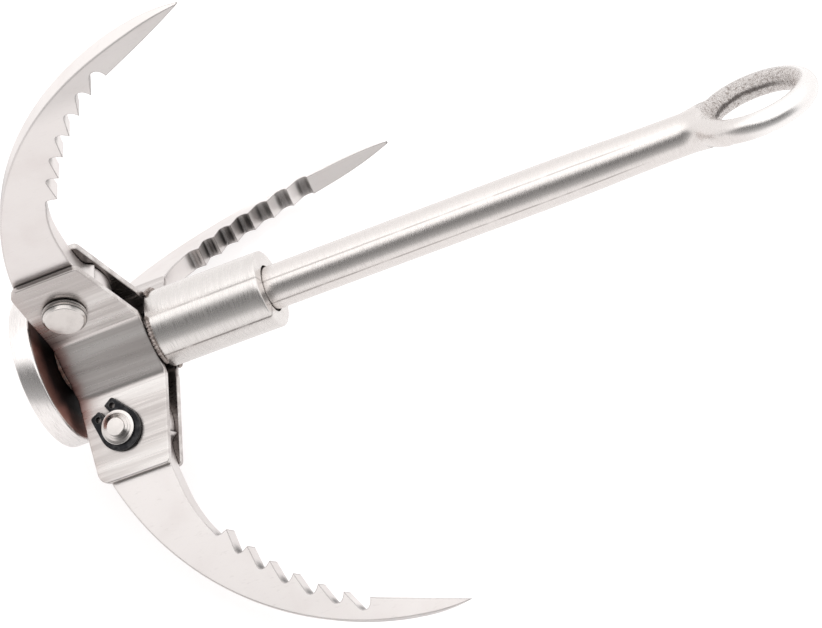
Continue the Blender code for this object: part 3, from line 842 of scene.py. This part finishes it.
def draw_onto_forging(points):
    """Moves the points onto the forging's surface; those at the split keep their height."""
    reach = 0.02
    for _ in range(10):
        distance = forging_distance(points)
        slope = np.zeros_like(points)
        for k in range(3):
            nudge = np.zeros(3)
            nudge[k] = reach
            slope[:, k] = (forging_distance(points + nudge)
                           - forging_distance(points - nudge)) / (2 * reach)
        squared = (slope * slope).sum(1)
        step = (distance / np.maximum(squared, 0.2))[:, None] * slope
        step[:, 2][points[:, 2] < SPLIT_Z + 0.01] = 0
        points -= np.clip(step, -0.6, 0.6)


def place_head(shape, points):
    """Sets the vertices, with a cast texture on the ring's inner side."""
    across, above = points @ EYE_ACROSS - EYE_SHIFT[0], points[:, 2] - EYE_Z
    ring = np.hypot(across, above)
    inner = (np.clip((EYE_MEAN_R - 0.6 - ring) / 1.6, 0, 1)
             * np.clip((above + EYE_OUT + 3) / 3, 0, 1))
    lower = np.clip((-above + 4.0) / 14.0, 0.25, 1)
    for vert, point, amount in zip(shape.verts, points, inner * lower):
        place = Vector(point)
        if amount > 0:
            grain = noise.noise(place * 1.1) * 0.16 + noise.noise(place * 2.4) * 0.10
            away = (place - Vector((0, 0, EYE_Z))).normalized()
            place = place + away * (grain * amount)
        vert.co = place * MM


def forging_mesh():
    shape = bmesh.new()
    shape.from_mesh(rough_head())
    bmesh.ops.bisect_plane(shape, geom=shape.verts[:] + shape.edges[:] + shape.faces[:],
                           dist=1e-7, plane_co=(0, 0, SPLIT_Z * MM), plane_no=(0, 0, -1),
                           clear_outer=True)
    points = np.array([vert.co[:] for vert in shape.verts]) / MM
    draw_onto_forging(points)
    place_head(shape, points)
    shape.normal_update()

    # turned bar below the split, its rings matched to the head's border
    def azimuth(vert):
        return math.atan2(vert.co.y, vert.co.x)

    border = sorted([vert for vert in shape.verts if vert.is_boundary], key=azimuth)
    profile = [(ROD_R - 0.5, ROD_Z0), (ROD_R - 0.2, ROD_Z0 + 0.12), (ROD_R, ROD_Z0 + 0.5)]
    z = ROD_Z0 + 4.0
    while z < SPLIT_Z - 2.0:
        profile.append((float(rod_radius(z)), z))
        z += 4.0
    angles = [azimuth(vert) for vert in border]
    centre = shape.verts.new((0, 0, ROD_Z0 * MM))
    rows = [spun_ring(shape, radius, z, angles) for radius, z in profile]
    for k in range(len(border)):
        shape.faces.new((centre, rows[0][(k + 1) % len(border)], rows[0][k]))
    loft(shape, rows + [border])
    return finish_mesh("rod_with_eye", shape, 50)


piece("centre_rod", forging_mesh(), "rod", ROD_STEEL, name="rod_with_eye",
      also=("eye_ring", "eye_weld"))


# ---- foot disc and its weld ----------------------------------------------------------
def foot_disc_mesh():
    edge = 0.45
    profile = rounded([(0, 0), (FOOT_R, 0), (FOOT_R, FOOT_H), (0, FOOT_H)], [0, edge, edge, 0])
    return turned("foot_disc_look", densify(profile, 2.0), segments=160, sharp_angle=50)


def foot_weld_mesh():
    """A rippled fillet of weld round the rod."""
    segments, steps = 144, 10
    low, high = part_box("foot_weld")
    outer = (high.x - low.x) / 2 / MM
    base, height = low.z / MM, (high.z - low.z) / MM
    root = ROD_R + 0.3
    shape = bmesh.new()
    rows = []
    for angle in around(segments):
        swell = noise.noise(Vector((math.cos(angle) * 3, math.sin(angle) * 3, 2)))
        ripple = 0.10 * math.sin(angle * 23) + 0.25 * swell
        row = [spun_vert(shape, root, base, angle)]
        for j in range(steps + 1):
            rise = math.radians(90 * j / steps)
            radius = root + (outer - root - 0.4 + ripple) * math.cos(rise) ** 0.8
            z = base + (height - 0.3 + ripple * 0.6) * math.sin(rise) ** 0.9
            row.append(spun_vert(shape, radius, z, angle))
        rows.append(row)
    loft(shape, rows, closed=True)
    return finish_mesh("foot_weld_look", shape, 60)


piece("foot_disc", foot_disc_mesh(), "foot", DISC_STEEL)
piece("foot_weld", foot_weld_mesh(), "foot", FOOT_WELD_STEEL)


# ---- sleeve ----------------------------------------------------------------------------
def sleeve_mesh():
    profile = rounded([(SLEEVE_BORE_R, SLEEVE_Z0), (SLEEVE_R, SLEEVE_Z0),
                       (SLEEVE_R, SLEEVE_Z1), (SLEEVE_BORE_R, SLEEVE_Z1)],
                      [0.2, 0.25, 0.45, 0.25])
    return turned("guide_sleeve_look", densify(profile, 1.5, closed=True), segments=160,
                  sharp_angle=50, closed=True)


piece("guide_sleeve", sleeve_mesh(), "hub", SLEEVE_STEEL)


# ---- side plates -----------------------------------------------------------------------
# A plate is made with its web facing +X and a flange running out at 60 degrees on each side.
PLATE_T = 2.0
PLATE_WEB_D = 10.5          # web's near face, from the rod's axis
PLATE_BEND_R = 3.0
PLATE_REACH = 36.7
PLATE_Z1_END = 29.0         # top of the sloping upper edge at the flange's end
PLATE_SLOPE_R = 12.5        # radius where the slope starts
PLATE_TOP_CORNER = 1.2
PLATE_LOW_CORNER = 3.4
PLATE_EDGE = 0.42
PLATE_FLAT_R = 13.2         # inner end of the flange's straight stations
SIN60, COS60 = math.sin(math.radians(60)), math.cos(math.radians(60))


def drop(past, radius):
    """How far an arc has fallen away at a distance past its start."""
    return 0.0 if past <= 0 else radius - math.sqrt(max(0.0, radius * radius - past * past))


def plate_top(reach):
    z = PLATE_Z1
    if reach > PLATE_SLOPE_R:
        z += ((PLATE_Z1_END - PLATE_Z1) * (reach - PLATE_SLOPE_R)
              / (PLATE_REACH - PLATE_SLOPE_R))
    return z - drop(reach - (PLATE_REACH - PLATE_TOP_CORNER), PLATE_TOP_CORNER)


def plate_bottom(reach):
    return PLATE_Z0 + drop(reach - (PLATE_REACH - PLATE_LOW_CORNER), PLATE_LOW_CORNER)


def flange_point(reach, side):
    """X and Y of a point given along and across the flange on the -Y side."""
    return Vector((reach * COS60 + side * SIN60, -reach * SIN60 + side * COS60))


def plate_stations():
    """Stations from one flange's end to the other's: (one face, other face, reach)."""
    reaches = [PLATE_REACH - PLATE_LOW_CORNER * (1 - math.cos(math.radians(90 * k / 14)))
               for k in range(15)]
    reaches += list(np.linspace(PLATE_REACH - PLATE_LOW_CORNER, PLATE_FLAT_R, 16))[1:]
    half = []
    for reach in reaches:
        # the sheet's end is rounded through its thickness
        thin = drop(reach - (PLATE_REACH - PLATE_EDGE), PLATE_EDGE)
        half.append((flange_point(reach, FLANGE_S - thin),
                     flange_point(reach, FLANGE_S - PLATE_T + thin), reach))
    side = FLANGE_S + PLATE_BEND_R
    bend_at = (PLATE_WEB_D + PLATE_BEND_R - side * SIN60) / COS60
    centre = flange_point(bend_at, side)
    for k in range(9):
        angle = math.radians(30.0 * k / 8)
        spoke = Vector((-SIN60 * math.cos(angle) - COS60 * math.sin(angle),
                        -COS60 * math.cos(angle) + SIN60 * math.sin(angle)))
        half.append((centre + spoke * PLATE_BEND_R, centre + spoke * (PLATE_BEND_R + PLATE_T),
                     bend_at))
    last_a, last_b, _ = half[-1]
    web = []
    for k in range(1, 12):
        t = k / 12
        web.append((Vector((last_a.x, last_a.y * (1 - 2 * t))),
                    Vector((last_b.x, last_b.y * (1 - 2 * t))), bend_at))
    mirrored = [(Vector((face_a.x, -face_a.y)), Vector((face_b.x, -face_b.y)), reach)
                for face_a, face_b, reach in reversed(half)]
    return half + web + mirrored


def plate_section(thick, top, bottom):
    """Sheet section with rounded edges, as (depth, z) points."""
    edge = min(PLATE_EDGE, thick * 0.45)
    rise = top - bottom - 2 * edge
    turns = [(math.sin(math.radians(90 * k / 4)), math.cos(math.radians(90 * k / 4)))
             for k in range(5)]
    points = [(edge * (1 - s), bottom + edge * (1 - c)) for s, c in turns]
    points += [(0, bottom + edge + rise * k / 6) for k in range(1, 6)]
    points += [(edge * (1 - c), top - edge * (1 - s)) for s, c in turns]
    points += [(thick - edge * (1 - s), top - edge * (1 - c)) for s, c in turns]
    points += [(thick, top - edge - rise * k / 6) for k in range(1, 6)]
    points += [(thick - edge * (1 - c), bottom + edge * (1 - s)) for s, c in turns]
    return points


def plate_mesh(seed):
    shape = bmesh.new()
    rings = []
    for face_a, face_b, reach in plate_stations():
        top, bottom = plate_top(reach), plate_bottom(reach)
        # the lower edge is slightly uneven near the web
        if reach < 20:
            amount = min(1.0, (20 - reach) / 7)
            for size, scale, layer in ((0.22, 0.55, 1.7), (0.10, 1.9, 7.7)):
                spot = Vector((face_a.x * scale + seed, face_a.y * scale, layer))
                bottom += amount * size * noise.noise(spot)
        through = face_b - face_a
        inwards = through.normalized()
        ring = []
        for depth, z in plate_section(through.length, top, bottom):
            place = face_a + inwards * depth
            ring.append(shape.verts.new((place.x * MM, place.y * MM, z * MM)))
        rings.append(ring)
    loft(shape, rings, caps=True)
    bmesh.ops.remove_doubles(shape, verts=shape.verts[:], dist=1e-7)
    bmesh.ops.dissolve_degenerate(shape, edges=shape.edges[:], dist=1e-7)
    mesh = finish_mesh("side_plate", shape, 40)
    cutters = []
    for side in (-60, 60):
        cutter = cylinder_y(PIN_HOLE_R, (-7.0, 7.0), PIVOT_R, PIVOT_Z)
        cutter.transform(Matrix.Rotation(math.radians(side), 4, "Z"))
        cutters.append(cutter)
    return cut(mesh, cutters)


for i, azimuth in enumerate(PLATE_AZ, 1):
    weight_normals(piece("side_plate_%d" % i, plate_mesh(seed=i * 3.1), "hub", PLATE_STEEL,
                         Matrix.Rotation(math.radians(azimuth), 4, "Z")))


# ---- weld beads between the sleeve and the plates ----------------------------------------
def bead_mesh(seed):
    """A scalloped bead round part of the sleeve, centred on +X."""
    steps, half = 220, 40.0     # half is the bead's half sweep in degrees
    shape = bmesh.new()
    rows = []
    for i in range(steps + 1):
        degrees = -half + 2 * half * i / steps
        end = min(1.0, (half - abs(degrees)) / 3.0)
        scallop = abs(math.sin(math.radians(degrees * 34.0 + seed * 40)))
        size = (0.36 + 0.22 * scallop) * (0.35 + 0.65 * math.sqrt(max(0.0, end)))
        size *= 1.0 + 0.25 * noise.noise(Vector((degrees * 0.35, seed, 0.3)))
        waver = 0.10 * noise.noise(Vector((degrees * 0.3, seed, 5.1)))
        centre_r = SLEEVE_R + 0.42 + waver
        centre_z = PLATE_Z1 + 0.78
        rows.append([spun_vert(shape, centre_r + size * 1.1 * math.cos(turn),
                               centre_z + size * math.sin(turn), math.radians(degrees))
                     for turn in around(14)])
    loft(shape, rows, caps=True)
    return finish_mesh("plate_weld", shape, 70)


for i, azimuth in enumerate(PLATE_AZ, 1):
    piece("plate_weld_%d" % i, bead_mesh(seed=i), "hub", WELD_STEEL,
          Matrix.Rotation(math.radians(azimuth), 4, "Z"))


# ---- claws -------------------------------------------------------------------------------
# Outlines are in radius and z; positions along them are angles in degrees about the centres.
CLAW_T = 5.6
OUTER_C, OUTER_R = (9.77, 94.4), 88.25      # convex back
INNER_C, ROOT_R = (13.3, 110.8), 88.25      # concave edge near the pivot
ROOT_DRAW = 1.6
GULLET_R = 88.33
TIP_AT, TIP_TUCK, TIP_TUCK_SPAN = 1.96, 0.75, 8.0
TOOTH_FIRST, TOOTH_STEP, TEETH = -58.16, 4.9, 7
PIVOT = (PIVOT_R, PIVOT_Z)
HEEL_R, HUB_R = 10.6, 12.6                  # rounds below and above the pivot
HUB_EDGE = 0.42
# each claw's lean from the nominal pose follows from its joint's lower limit
LEAN = [-10.0 - JOINTS["claw_%d_fold" % i]["range_deg"][0] for i in (1, 2, 3)]
POINT_ASIDE = (-1.2, 0.0, 1.8)              # how far each claw's point stands to one side
# from the end of the concave edge to the hub's round
ROOT_LINE = [(40.5, 28.98), (38.0, 28.60), (35.5, 28.36), (33.0, 28.22)]
ROOT_NOTCH = [(31.2, 28.2), (30.2, 28.35), (29.5, 28.75), (29.0, 29.35), (28.6, 30.0),
              (28.0, 30.45)]


def tooth_at(i):
    """Each barb stands a little further towards the point than an even pitch would put it."""
    return TOOTH_FIRST + TOOTH_STEP * i + 0.36 + 0.165 * i


def tooth_tip_r(i):
    return 85.35 - 0.09 * i


def tooth_tip(i):
    return polar(INNER_C, tooth_tip_r(i), tooth_at(i))


def back_point(at):
    past = max(0.0, at - (TIP_AT - TIP_TUCK_SPAN)) / TIP_TUCK_SPAN
    return polar(OUTER_C, OUTER_R - TIP_TUCK * past * past, at)


def plain_edge(at):
    past = max(0.0, -60.0 - at) / 10.0
    return polar(INNER_C, ROOT_R - ROOT_DRAW * past * past, at)


def tooth_face(i):
    """The hook from a barb's point down to its round-bottomed gullet."""
    at, bulge = tooth_at(i), -0.22 + 0.064 * i
    tip_r = tooth_tip_r(i)
    # (degrees from the barb's point, radius)
    hook = [
        (0.0, tip_r),
        (bulge * 0.8, tip_r + 0.9),
        (bulge, tip_r + 1.6),
        (bulge - 0.15, GULLET_R - 0.88),
        (bulge / 2 - 0.42, GULLET_R - 0.33),
        (-0.78, GULLET_R - 0.02),
        (-1.18, GULLET_R),
    ]
    if i:
        hook.append((-1.62, GULLET_R - 0.28))
    return spline([polar(INNER_C, radius, at + turn) for turn, radius in hook], 3)


def claw_outline():
    """Outline of a claw and, for each point, its edge radius."""
    points, edges = [], []

    def add(new_points, edge):
        points.extend(new_points)
        edges.extend([edge] * len(new_points))

    add(arc(PIVOT, HEEL_R, 214.0, 268.0, 18), 0.4)
    # the back, from the heel to the point
    heel_z = PIVOT_Z - HEEL_R
    first = -math.degrees(math.asin((OUTER_C[1] - heel_z) / OUTER_R)) + 0.8
    steps = 130
    for k in range(steps + 1):
        at = first + (TIP_AT - 0.25 - first) * k / steps
        add([back_point(at)], 0.50 - 0.36 * max(0.0, (k - (steps - 9)) / 9.0))
    tip = back_point(TIP_AT)
    add([tip], 0.12)
    # straight inner edge from the point to the last barb
    run = Vector(tooth_tip(TEETH - 1)) - Vector(tip)
    for k in range(1, 11):
        add([tuple(Vector(tip) + run * (k / 11.0))], min(0.34, 0.12 + 0.05 * k) if k < 10 else 0.2)
    for i in reversed(range(TEETH)):
        add([tooth_tip(i)], 0.09)
        add(tooth_face(i), 0.15)
        if i:
            gullet, next_tip = Vector(points[-1]), Vector(tooth_tip(i - 1))
            for k in range(1, 8):
                add([tuple(gullet.lerp(next_tip, k / 8.0))], 0.15)
    for k in range(27):
        add([plain_edge(-60.0 - 9.6 * k / 26)], min(HUB_EDGE, 0.18 + 0.05 * k))
    add(ROOT_LINE, HUB_EDGE)
    add(ROOT_NOTCH, 0.3)
    add(arc(PIVOT, HUB_R, 70.5, 188.0, 44), HUB_EDGE)
    return points, edges


def claw_mesh(lean, aside):
    """A claw about its own pivot, its blade in the XZ plane."""
    points, edges = claw_outline()
    outline = [(x - PIVOT_R, z - PIVOT_Z) for x, z in points]
    shape = prism(outline, CLAW_T / 2, edges, 4)
    tip = Vector(back_point(TIP_AT)) - Vector(PIVOT)
    start = Vector(tooth_tip(TEETH - 1)) - Vector(PIVOT)
    ahead = (tip - start).normalized()
    length = (tip - start).length
    # cuts across the blade, so that it can taper and lean smoothly
    for k in range(-26, 20):
        place = start + ahead * (length * k / 20.0)
        bmesh.ops.bisect_plane(shape, geom=shape.verts[:] + shape.edges[:] + shape.faces[:],
                               dist=1e-8, plane_co=(place.x * MM, 0, place.y * MM),
                               plane_no=(ahead.x, 0, ahead.y))
    for vert in shape.verts:
        place = Vector((vert.co.x / MM, vert.co.z / MM))
        along = max(0.0, min(1.0, (place - start).dot(ahead) / length))
        taper = 1.0 - 0.88 * (along ** 2.3)
        bend = max(0.0, (place.y + PIVOT_Z - 38.6) / 58.8)
        vert.co.y = vert.co.y * taper + aside * bend * bend * MM
    mesh = cut(finish_mesh("claw", shape, 32), [cylinder_y(PIN_HOLE_R, (-6, 6))])
    mesh.transform(Matrix.Rotation(-math.radians(lean), 4, "Y"))
    return mesh


for i, (azimuth, lean, aside) in enumerate(zip(CLAW_AZ, LEAN, POINT_ASIDE), 1):
    matrix = (Matrix.Translation(claw_joint(i))
              @ Matrix.Rotation(math.radians(azimuth), 4, "Z"))
    weight_normals(piece("claw_%d" % i, claw_mesh(lean, aside), "claw_%d" % i, CLAW_STEEL,
                         matrix))


# ---- pins and circlips -------------------------------------------------------------------
PIN_HEAD_R = 6.05
PIN_HEAD_H = 2.8
PIN_END = -8.6              # ringed end, along the pin's axis from the claw's mid plane
PIN_HEAD_Z = FLANGE_S + 0.3
GROOVE_Z0, GROOVE_Z1, GROOVE_R = -6.65, -5.05, 4.1
CLIP_SPIN = 208.0


def pin_frame(azimuth, spin=0.0):
    """Turns Z along the pivot's axis, and X to the spin angle about it, from radial."""
    angle, turn = math.radians(azimuth), math.radians(spin)
    radial = Vector((math.cos(angle), math.sin(angle), 0))
    tangent = Vector((-math.sin(angle), math.cos(angle), 0))
    x_axis = radial * math.cos(turn) + Vector((0, 0, 1)) * math.sin(turn)
    y_axis = tangent.cross(x_axis)
    return Matrix((x_axis, y_axis, tangent)).transposed().to_4x4()


def pin_mesh():
    """Chamfered head with a turned groove at one end, coned and grooved for its ring at the other.
    """
    end, head, top = PIN_END, PIN_HEAD_Z, PIN_HEAD_Z + PIN_HEAD_H
    # (radius, z) from the ringed end to the top of the head
    profile = [
        # stepped cone
        (0, end), (1.2, end), (2.34, end + 0.02), (2.50, end + 0.10), (2.58, end + 0.34),
        (2.66, end + 0.48), (3.22, end + 0.82), (3.28, end + 0.94), (3.84, end + 1.24),
        (3.90, end + 1.34), (4.36, end + 1.50), (PIN_R - 0.12, end + 1.54),
        (PIN_R - 0.02, end + 1.60), (PIN_R, end + 1.70),
        # groove and shank
        (PIN_R, GROOVE_Z0), (GROOVE_R, GROOVE_Z0), (GROOVE_R, GROOVE_Z1), (PIN_R, GROOVE_Z1),
        (PIN_R, head),
        # head
        (PIN_HEAD_R - 0.35, head), (PIN_HEAD_R - 0.05, head + 0.25), (PIN_HEAD_R, head + 0.70),
        (PIN_HEAD_R - 0.16, head + 0.82), (PIN_HEAD_R - 0.18, head + 1.00),
        (PIN_HEAD_R - 0.02, head + 1.12), (PIN_HEAD_R, head + 1.62),
        (PIN_HEAD_R - 0.06, head + 1.80), (PIN_HEAD_R - 0.18, head + 1.90),
        (PIN_HEAD_R - 0.30, head + 2.04), (PIN_HEAD_R - 0.70, head + 2.52),
        (PIN_HEAD_R - 0.80, head + 2.68), (PIN_HEAD_R - 0.96, top - 0.03),
        (PIN_HEAD_R - 1.2, top), (2.2, top), (0, top),
    ]
    mesh = turned("pin", profile, segments=112, sharp_angle=22)
    cone = mesh.attributes.new("cone", "FLOAT", "POINT")
    crease = mesh.attributes.new("crease", "FLOAT", "POINT")
    creases = (head, head + 0.82, head + 1.00, head + 1.80, head + 1.90)
    for vert in mesh.vertices:
        z = vert.co.z / MM
        on_head = vert.co.x ** 2 + vert.co.y ** 2 > (4.9 * MM) ** 2
        if on_head and min(abs(z - level) for level in creases) < 0.01:
            crease.data[vert.index].value = 1.0
        if z < end + 1.56 and 2.55 < math.hypot(vert.co.x, vert.co.y) / MM:
            cone.data[vert.index].value = 1.0
    return mesh


def clip_mesh():
    """External retaining ring: holed lugs towards +X, straight shoulders, heavy back."""
    inner, outer = 4.45, 6.05
    # lug corners on the +Y side: beside the gap, and far from it
    near, far = Vector((7.35, 1.05)), Vector((7.55, 4.25))
    low_near, low_far = Vector((near.x, -near.y)), Vector((far.x, -far.y))
    centre = Vector((-0.45, 0))
    # the shoulder runs from the lug's far corner to touch the outer circle
    reach = far - centre
    turn = math.atan2(reach.y, reach.x) + math.acos(outer / reach.length)
    touch = centre + Vector((math.cos(turn), math.sin(turn))) * outer
    low_touch = Vector((touch.x, -touch.y))
    gap_x = math.sqrt(inner ** 2 - near.y ** 2)
    gap, low_gap = (gap_x, near.y), (gap_x, -near.y)
    start = math.degrees(turn)
    points = arc(centre, outer, start, 360.0 - start, 80)
    points += densify([tuple(low_touch), tuple(low_far)], 1.0)[1:-2]
    points += fillet(low_touch, low_far, low_near, 0.75, 6)
    points += fillet(low_far, low_near, low_gap, 0.45, 5)
    points += fillet(low_near, low_gap, polar((0, 0), inner, -20), 0.2, 2)
    start = math.degrees(math.asin(near.y / inner)) + 3.2
    points += arc((0, 0), inner, 360.0 - start, start, 84)
    points += fillet(polar((0, 0), inner, 20), gap, near, 0.2, 2)
    points += fillet(gap, near, far, 0.45, 5)
    points += fillet(near, far, touch, 0.75, 6)
    points += densify([tuple(far), tuple(touch)], 1.0)[2:-1]
    half = 0.5
    mesh = finish_mesh("clip", prism(points, half, [0.13] * len(points), 3), 40)
    mesh = cut(mesh, [cylinder_y(0.85, (-2, 2), 5.75, side * 2.75, segments=32)
                      for side in (-1, 1)])
    # the prism's thickness is along Y; turn it to the pin's Z and set it in the groove
    mesh.transform(Matrix.Rotation(math.radians(90), 4, "X"))
    mesh.transform(Matrix.Translation((0, 0, (-5.35 - half) * MM)))
    return mesh


for i, azimuth in enumerate(CLAW_AZ, 1):
    place = Matrix.Translation(claw_joint(i))
    piece("pivot_pin_%d" % i, pin_mesh(), "hub", PIN_STEEL,
          place @ pin_frame(azimuth))
    weight_normals(piece("circlip_%d" % i, clip_mesh(), "hub", CLIP_BLACK,
                         place @ pin_frame(azimuth, CLIP_SPIN)))


# ---- floor ---------------------------------------------------------------------------------
to_cam = (-CAM_FORWARD).normalized()
# towards the camera, level with the floor
TO_CAM_LEVEL = (to_cam - UP * to_cam.dot(UP)).normalized()


def floor_mesh():
    """A square just below the lowest point of the pieces, facing UP; sizes in metres."""
    half, gap = 2.5, 0.00005
    lowest = min(min(UP.dot(vert.co) for vert in look.data.vertices) for look in PIECES)
    centre = UP * (lowest - gap)
    side = Vector((0, 1, 0))
    ahead = UP.cross(side).normalized()
    shape = bmesh.new()
    shape.faces.new([shape.verts.new(centre + side * (half * i) + ahead * (half * j))
                     for i, j in ((-1, -1), (1, -1), (1, 1), (-1, 1))])
    return to_mesh("floor", shape)


def floor_material():
    """Pale floor that glows a little and can be seen through from below."""
    material = bpy.data.materials.new("pale_floor")
    material.use_nodes = True
    n = Graph(material.node_tree)
    matte = n.tree.nodes["Principled BSDF"]
    matte.inputs["Base Color"].default_value = (0.93, 0.925, 0.925, 1)
    matte.inputs["Roughness"].default_value = 0.9
    matte.inputs["Specular IOR Level"].default_value = 0.0
    clear = n.node("BsdfTransparent")
    geometry = n.node("NewGeometry")
    glow = n.node("Emission")
    glow.inputs["Color"].default_value = (1.0, 0.975, 0.972, 1)
    # reflections see a calmer floor that falls off towards the camera; the camera sees white
    seen = n.node("LightPath").outputs["Is Camera Ray"]
    fall = n.ramp(n.dot(geometry.outputs["Position"], tuple(TO_CAM_LEVEL)),
                  span=(0.20, 0.62), out=(0.93, 0.30))
    calm = n.mul(fall, n.sub(1.0, seen))
    camera_level = 1.22
    n.feed(glow.inputs["Strength"], n.add(calm, n.mul(seen, camera_level)))
    lit = n.node("MixShader")
    lit.inputs[0].default_value = 0.62      # share of glow
    n.feed(lit.inputs[1], matte.outputs[0])
    n.feed(lit.inputs[2], glow.outputs[0])
    sided = n.node("MixShader")
    n.feed(sided.inputs[0], geometry.outputs["Backfacing"])
    n.feed(sided.inputs[1], lit.outputs[0])
    n.feed(sided.inputs[2], clear.outputs[0])
    n.feed(n.tree.nodes["Material Output"].inputs["Surface"], sided.outputs[0])
    return material


floor = link_new("floor", floor_mesh())
floor.data.materials.append(floor_material())


# ---- camera, world and light -----------------------------------------------------------------
def add_camera():
    data = bpy.data.cameras.new("camera")
    camera = link_new("camera", data)
    turn = Matrix((CAM_RIGHT, -CAM_DOWN, -CAM_FORWARD)).transposed()
    camera.matrix_world = Matrix.Translation(CAM_AT) @ turn.to_4x4()
    data.sensor_width = 36.0
    data.lens = 127.530219
    data.clip_start = 0.01
    data.clip_end = 20.0
    bpy.context.scene.camera = camera


def add_world():
    """A white tent with one darker opening, low on the camera's side."""
    world = bpy.data.worlds.new("studio")
    bpy.context.scene.world = world
    world.use_nodes = True
    n = Graph(world.node_tree)
    background = n.tree.nodes["Background"]
    direction = n.node("TexCoord").outputs["Generated"]
    elevation = n.dot(direction, tuple(UP))
    camera_side = n.dot(direction, tuple(TO_CAM_LEVEL))
    # the opening reaches from the floor's edge up to about 42 degrees
    opening = n.mul(n.ramp(elevation, span=(0.655, 0.69), out=(1.0, 0.0)),
                    n.ramp(camera_side, span=(0.22, 0.52)))
    dark = n.mul(opening, n.ramp(elevation, span=(0.0, 0.62), out=(0.60, 0.87)))
    overhead = n.ramp(elevation, span=(0.35, 0.95), out=(1.04, 1.30))
    # the brightest part of the tent, high on one side
    side = UP.cross(TO_CAM_LEVEL)
    bright = (UP * 0.80 + TO_CAM_LEVEL * 0.16 - side * 0.58).normalized()
    glare = n.ramp(n.dot(direction, tuple(bright)), span=(0.84, 0.985), out=(0.0, 0.27))
    level = n.mul(n.add(overhead, glare), n.sub(1.0, dark))
    # the camera itself sees an even white
    rays = n.node("LightPath")
    strength = n.node("Mix", data_type="FLOAT")
    n.feed(strength.inputs[0], rays.outputs["Is Camera Ray"])
    n.feed(strength.inputs[2], level)
    strength.inputs[3].default_value = 1.05
    n.feed(background.inputs["Strength"], strength.outputs[0])
    background.inputs["Color"].default_value = (1.0, 0.985, 0.98, 1)


def add_key():
    """One soft light from overhead, for direction in the shadows; places in metres."""
    data = bpy.data.lights.new("key", "AREA")
    data.shape = "RECTANGLE"
    data.size = 0.9
    data.size_y = 0.7
    data.energy = 7.0
    data.color = (1.0, 0.985, 0.97)
    key = link_new("key", data)
    place = UP * 1.1 - TO_CAM_LEVEL * 0.35 + Vector((0, -0.3, 0))
    target = Vector((0, 0, 0.08))
    key.location = place
    key.visible_glossy = False
    key.rotation_euler = (target - place).to_track_quat("-Z", "Y").to_euler()


add_camera()
add_world()
add_key()
bpy.context.scene.view_settings.view_transform = "Standard"
bpy.context.scene.view_settings.look = "None"
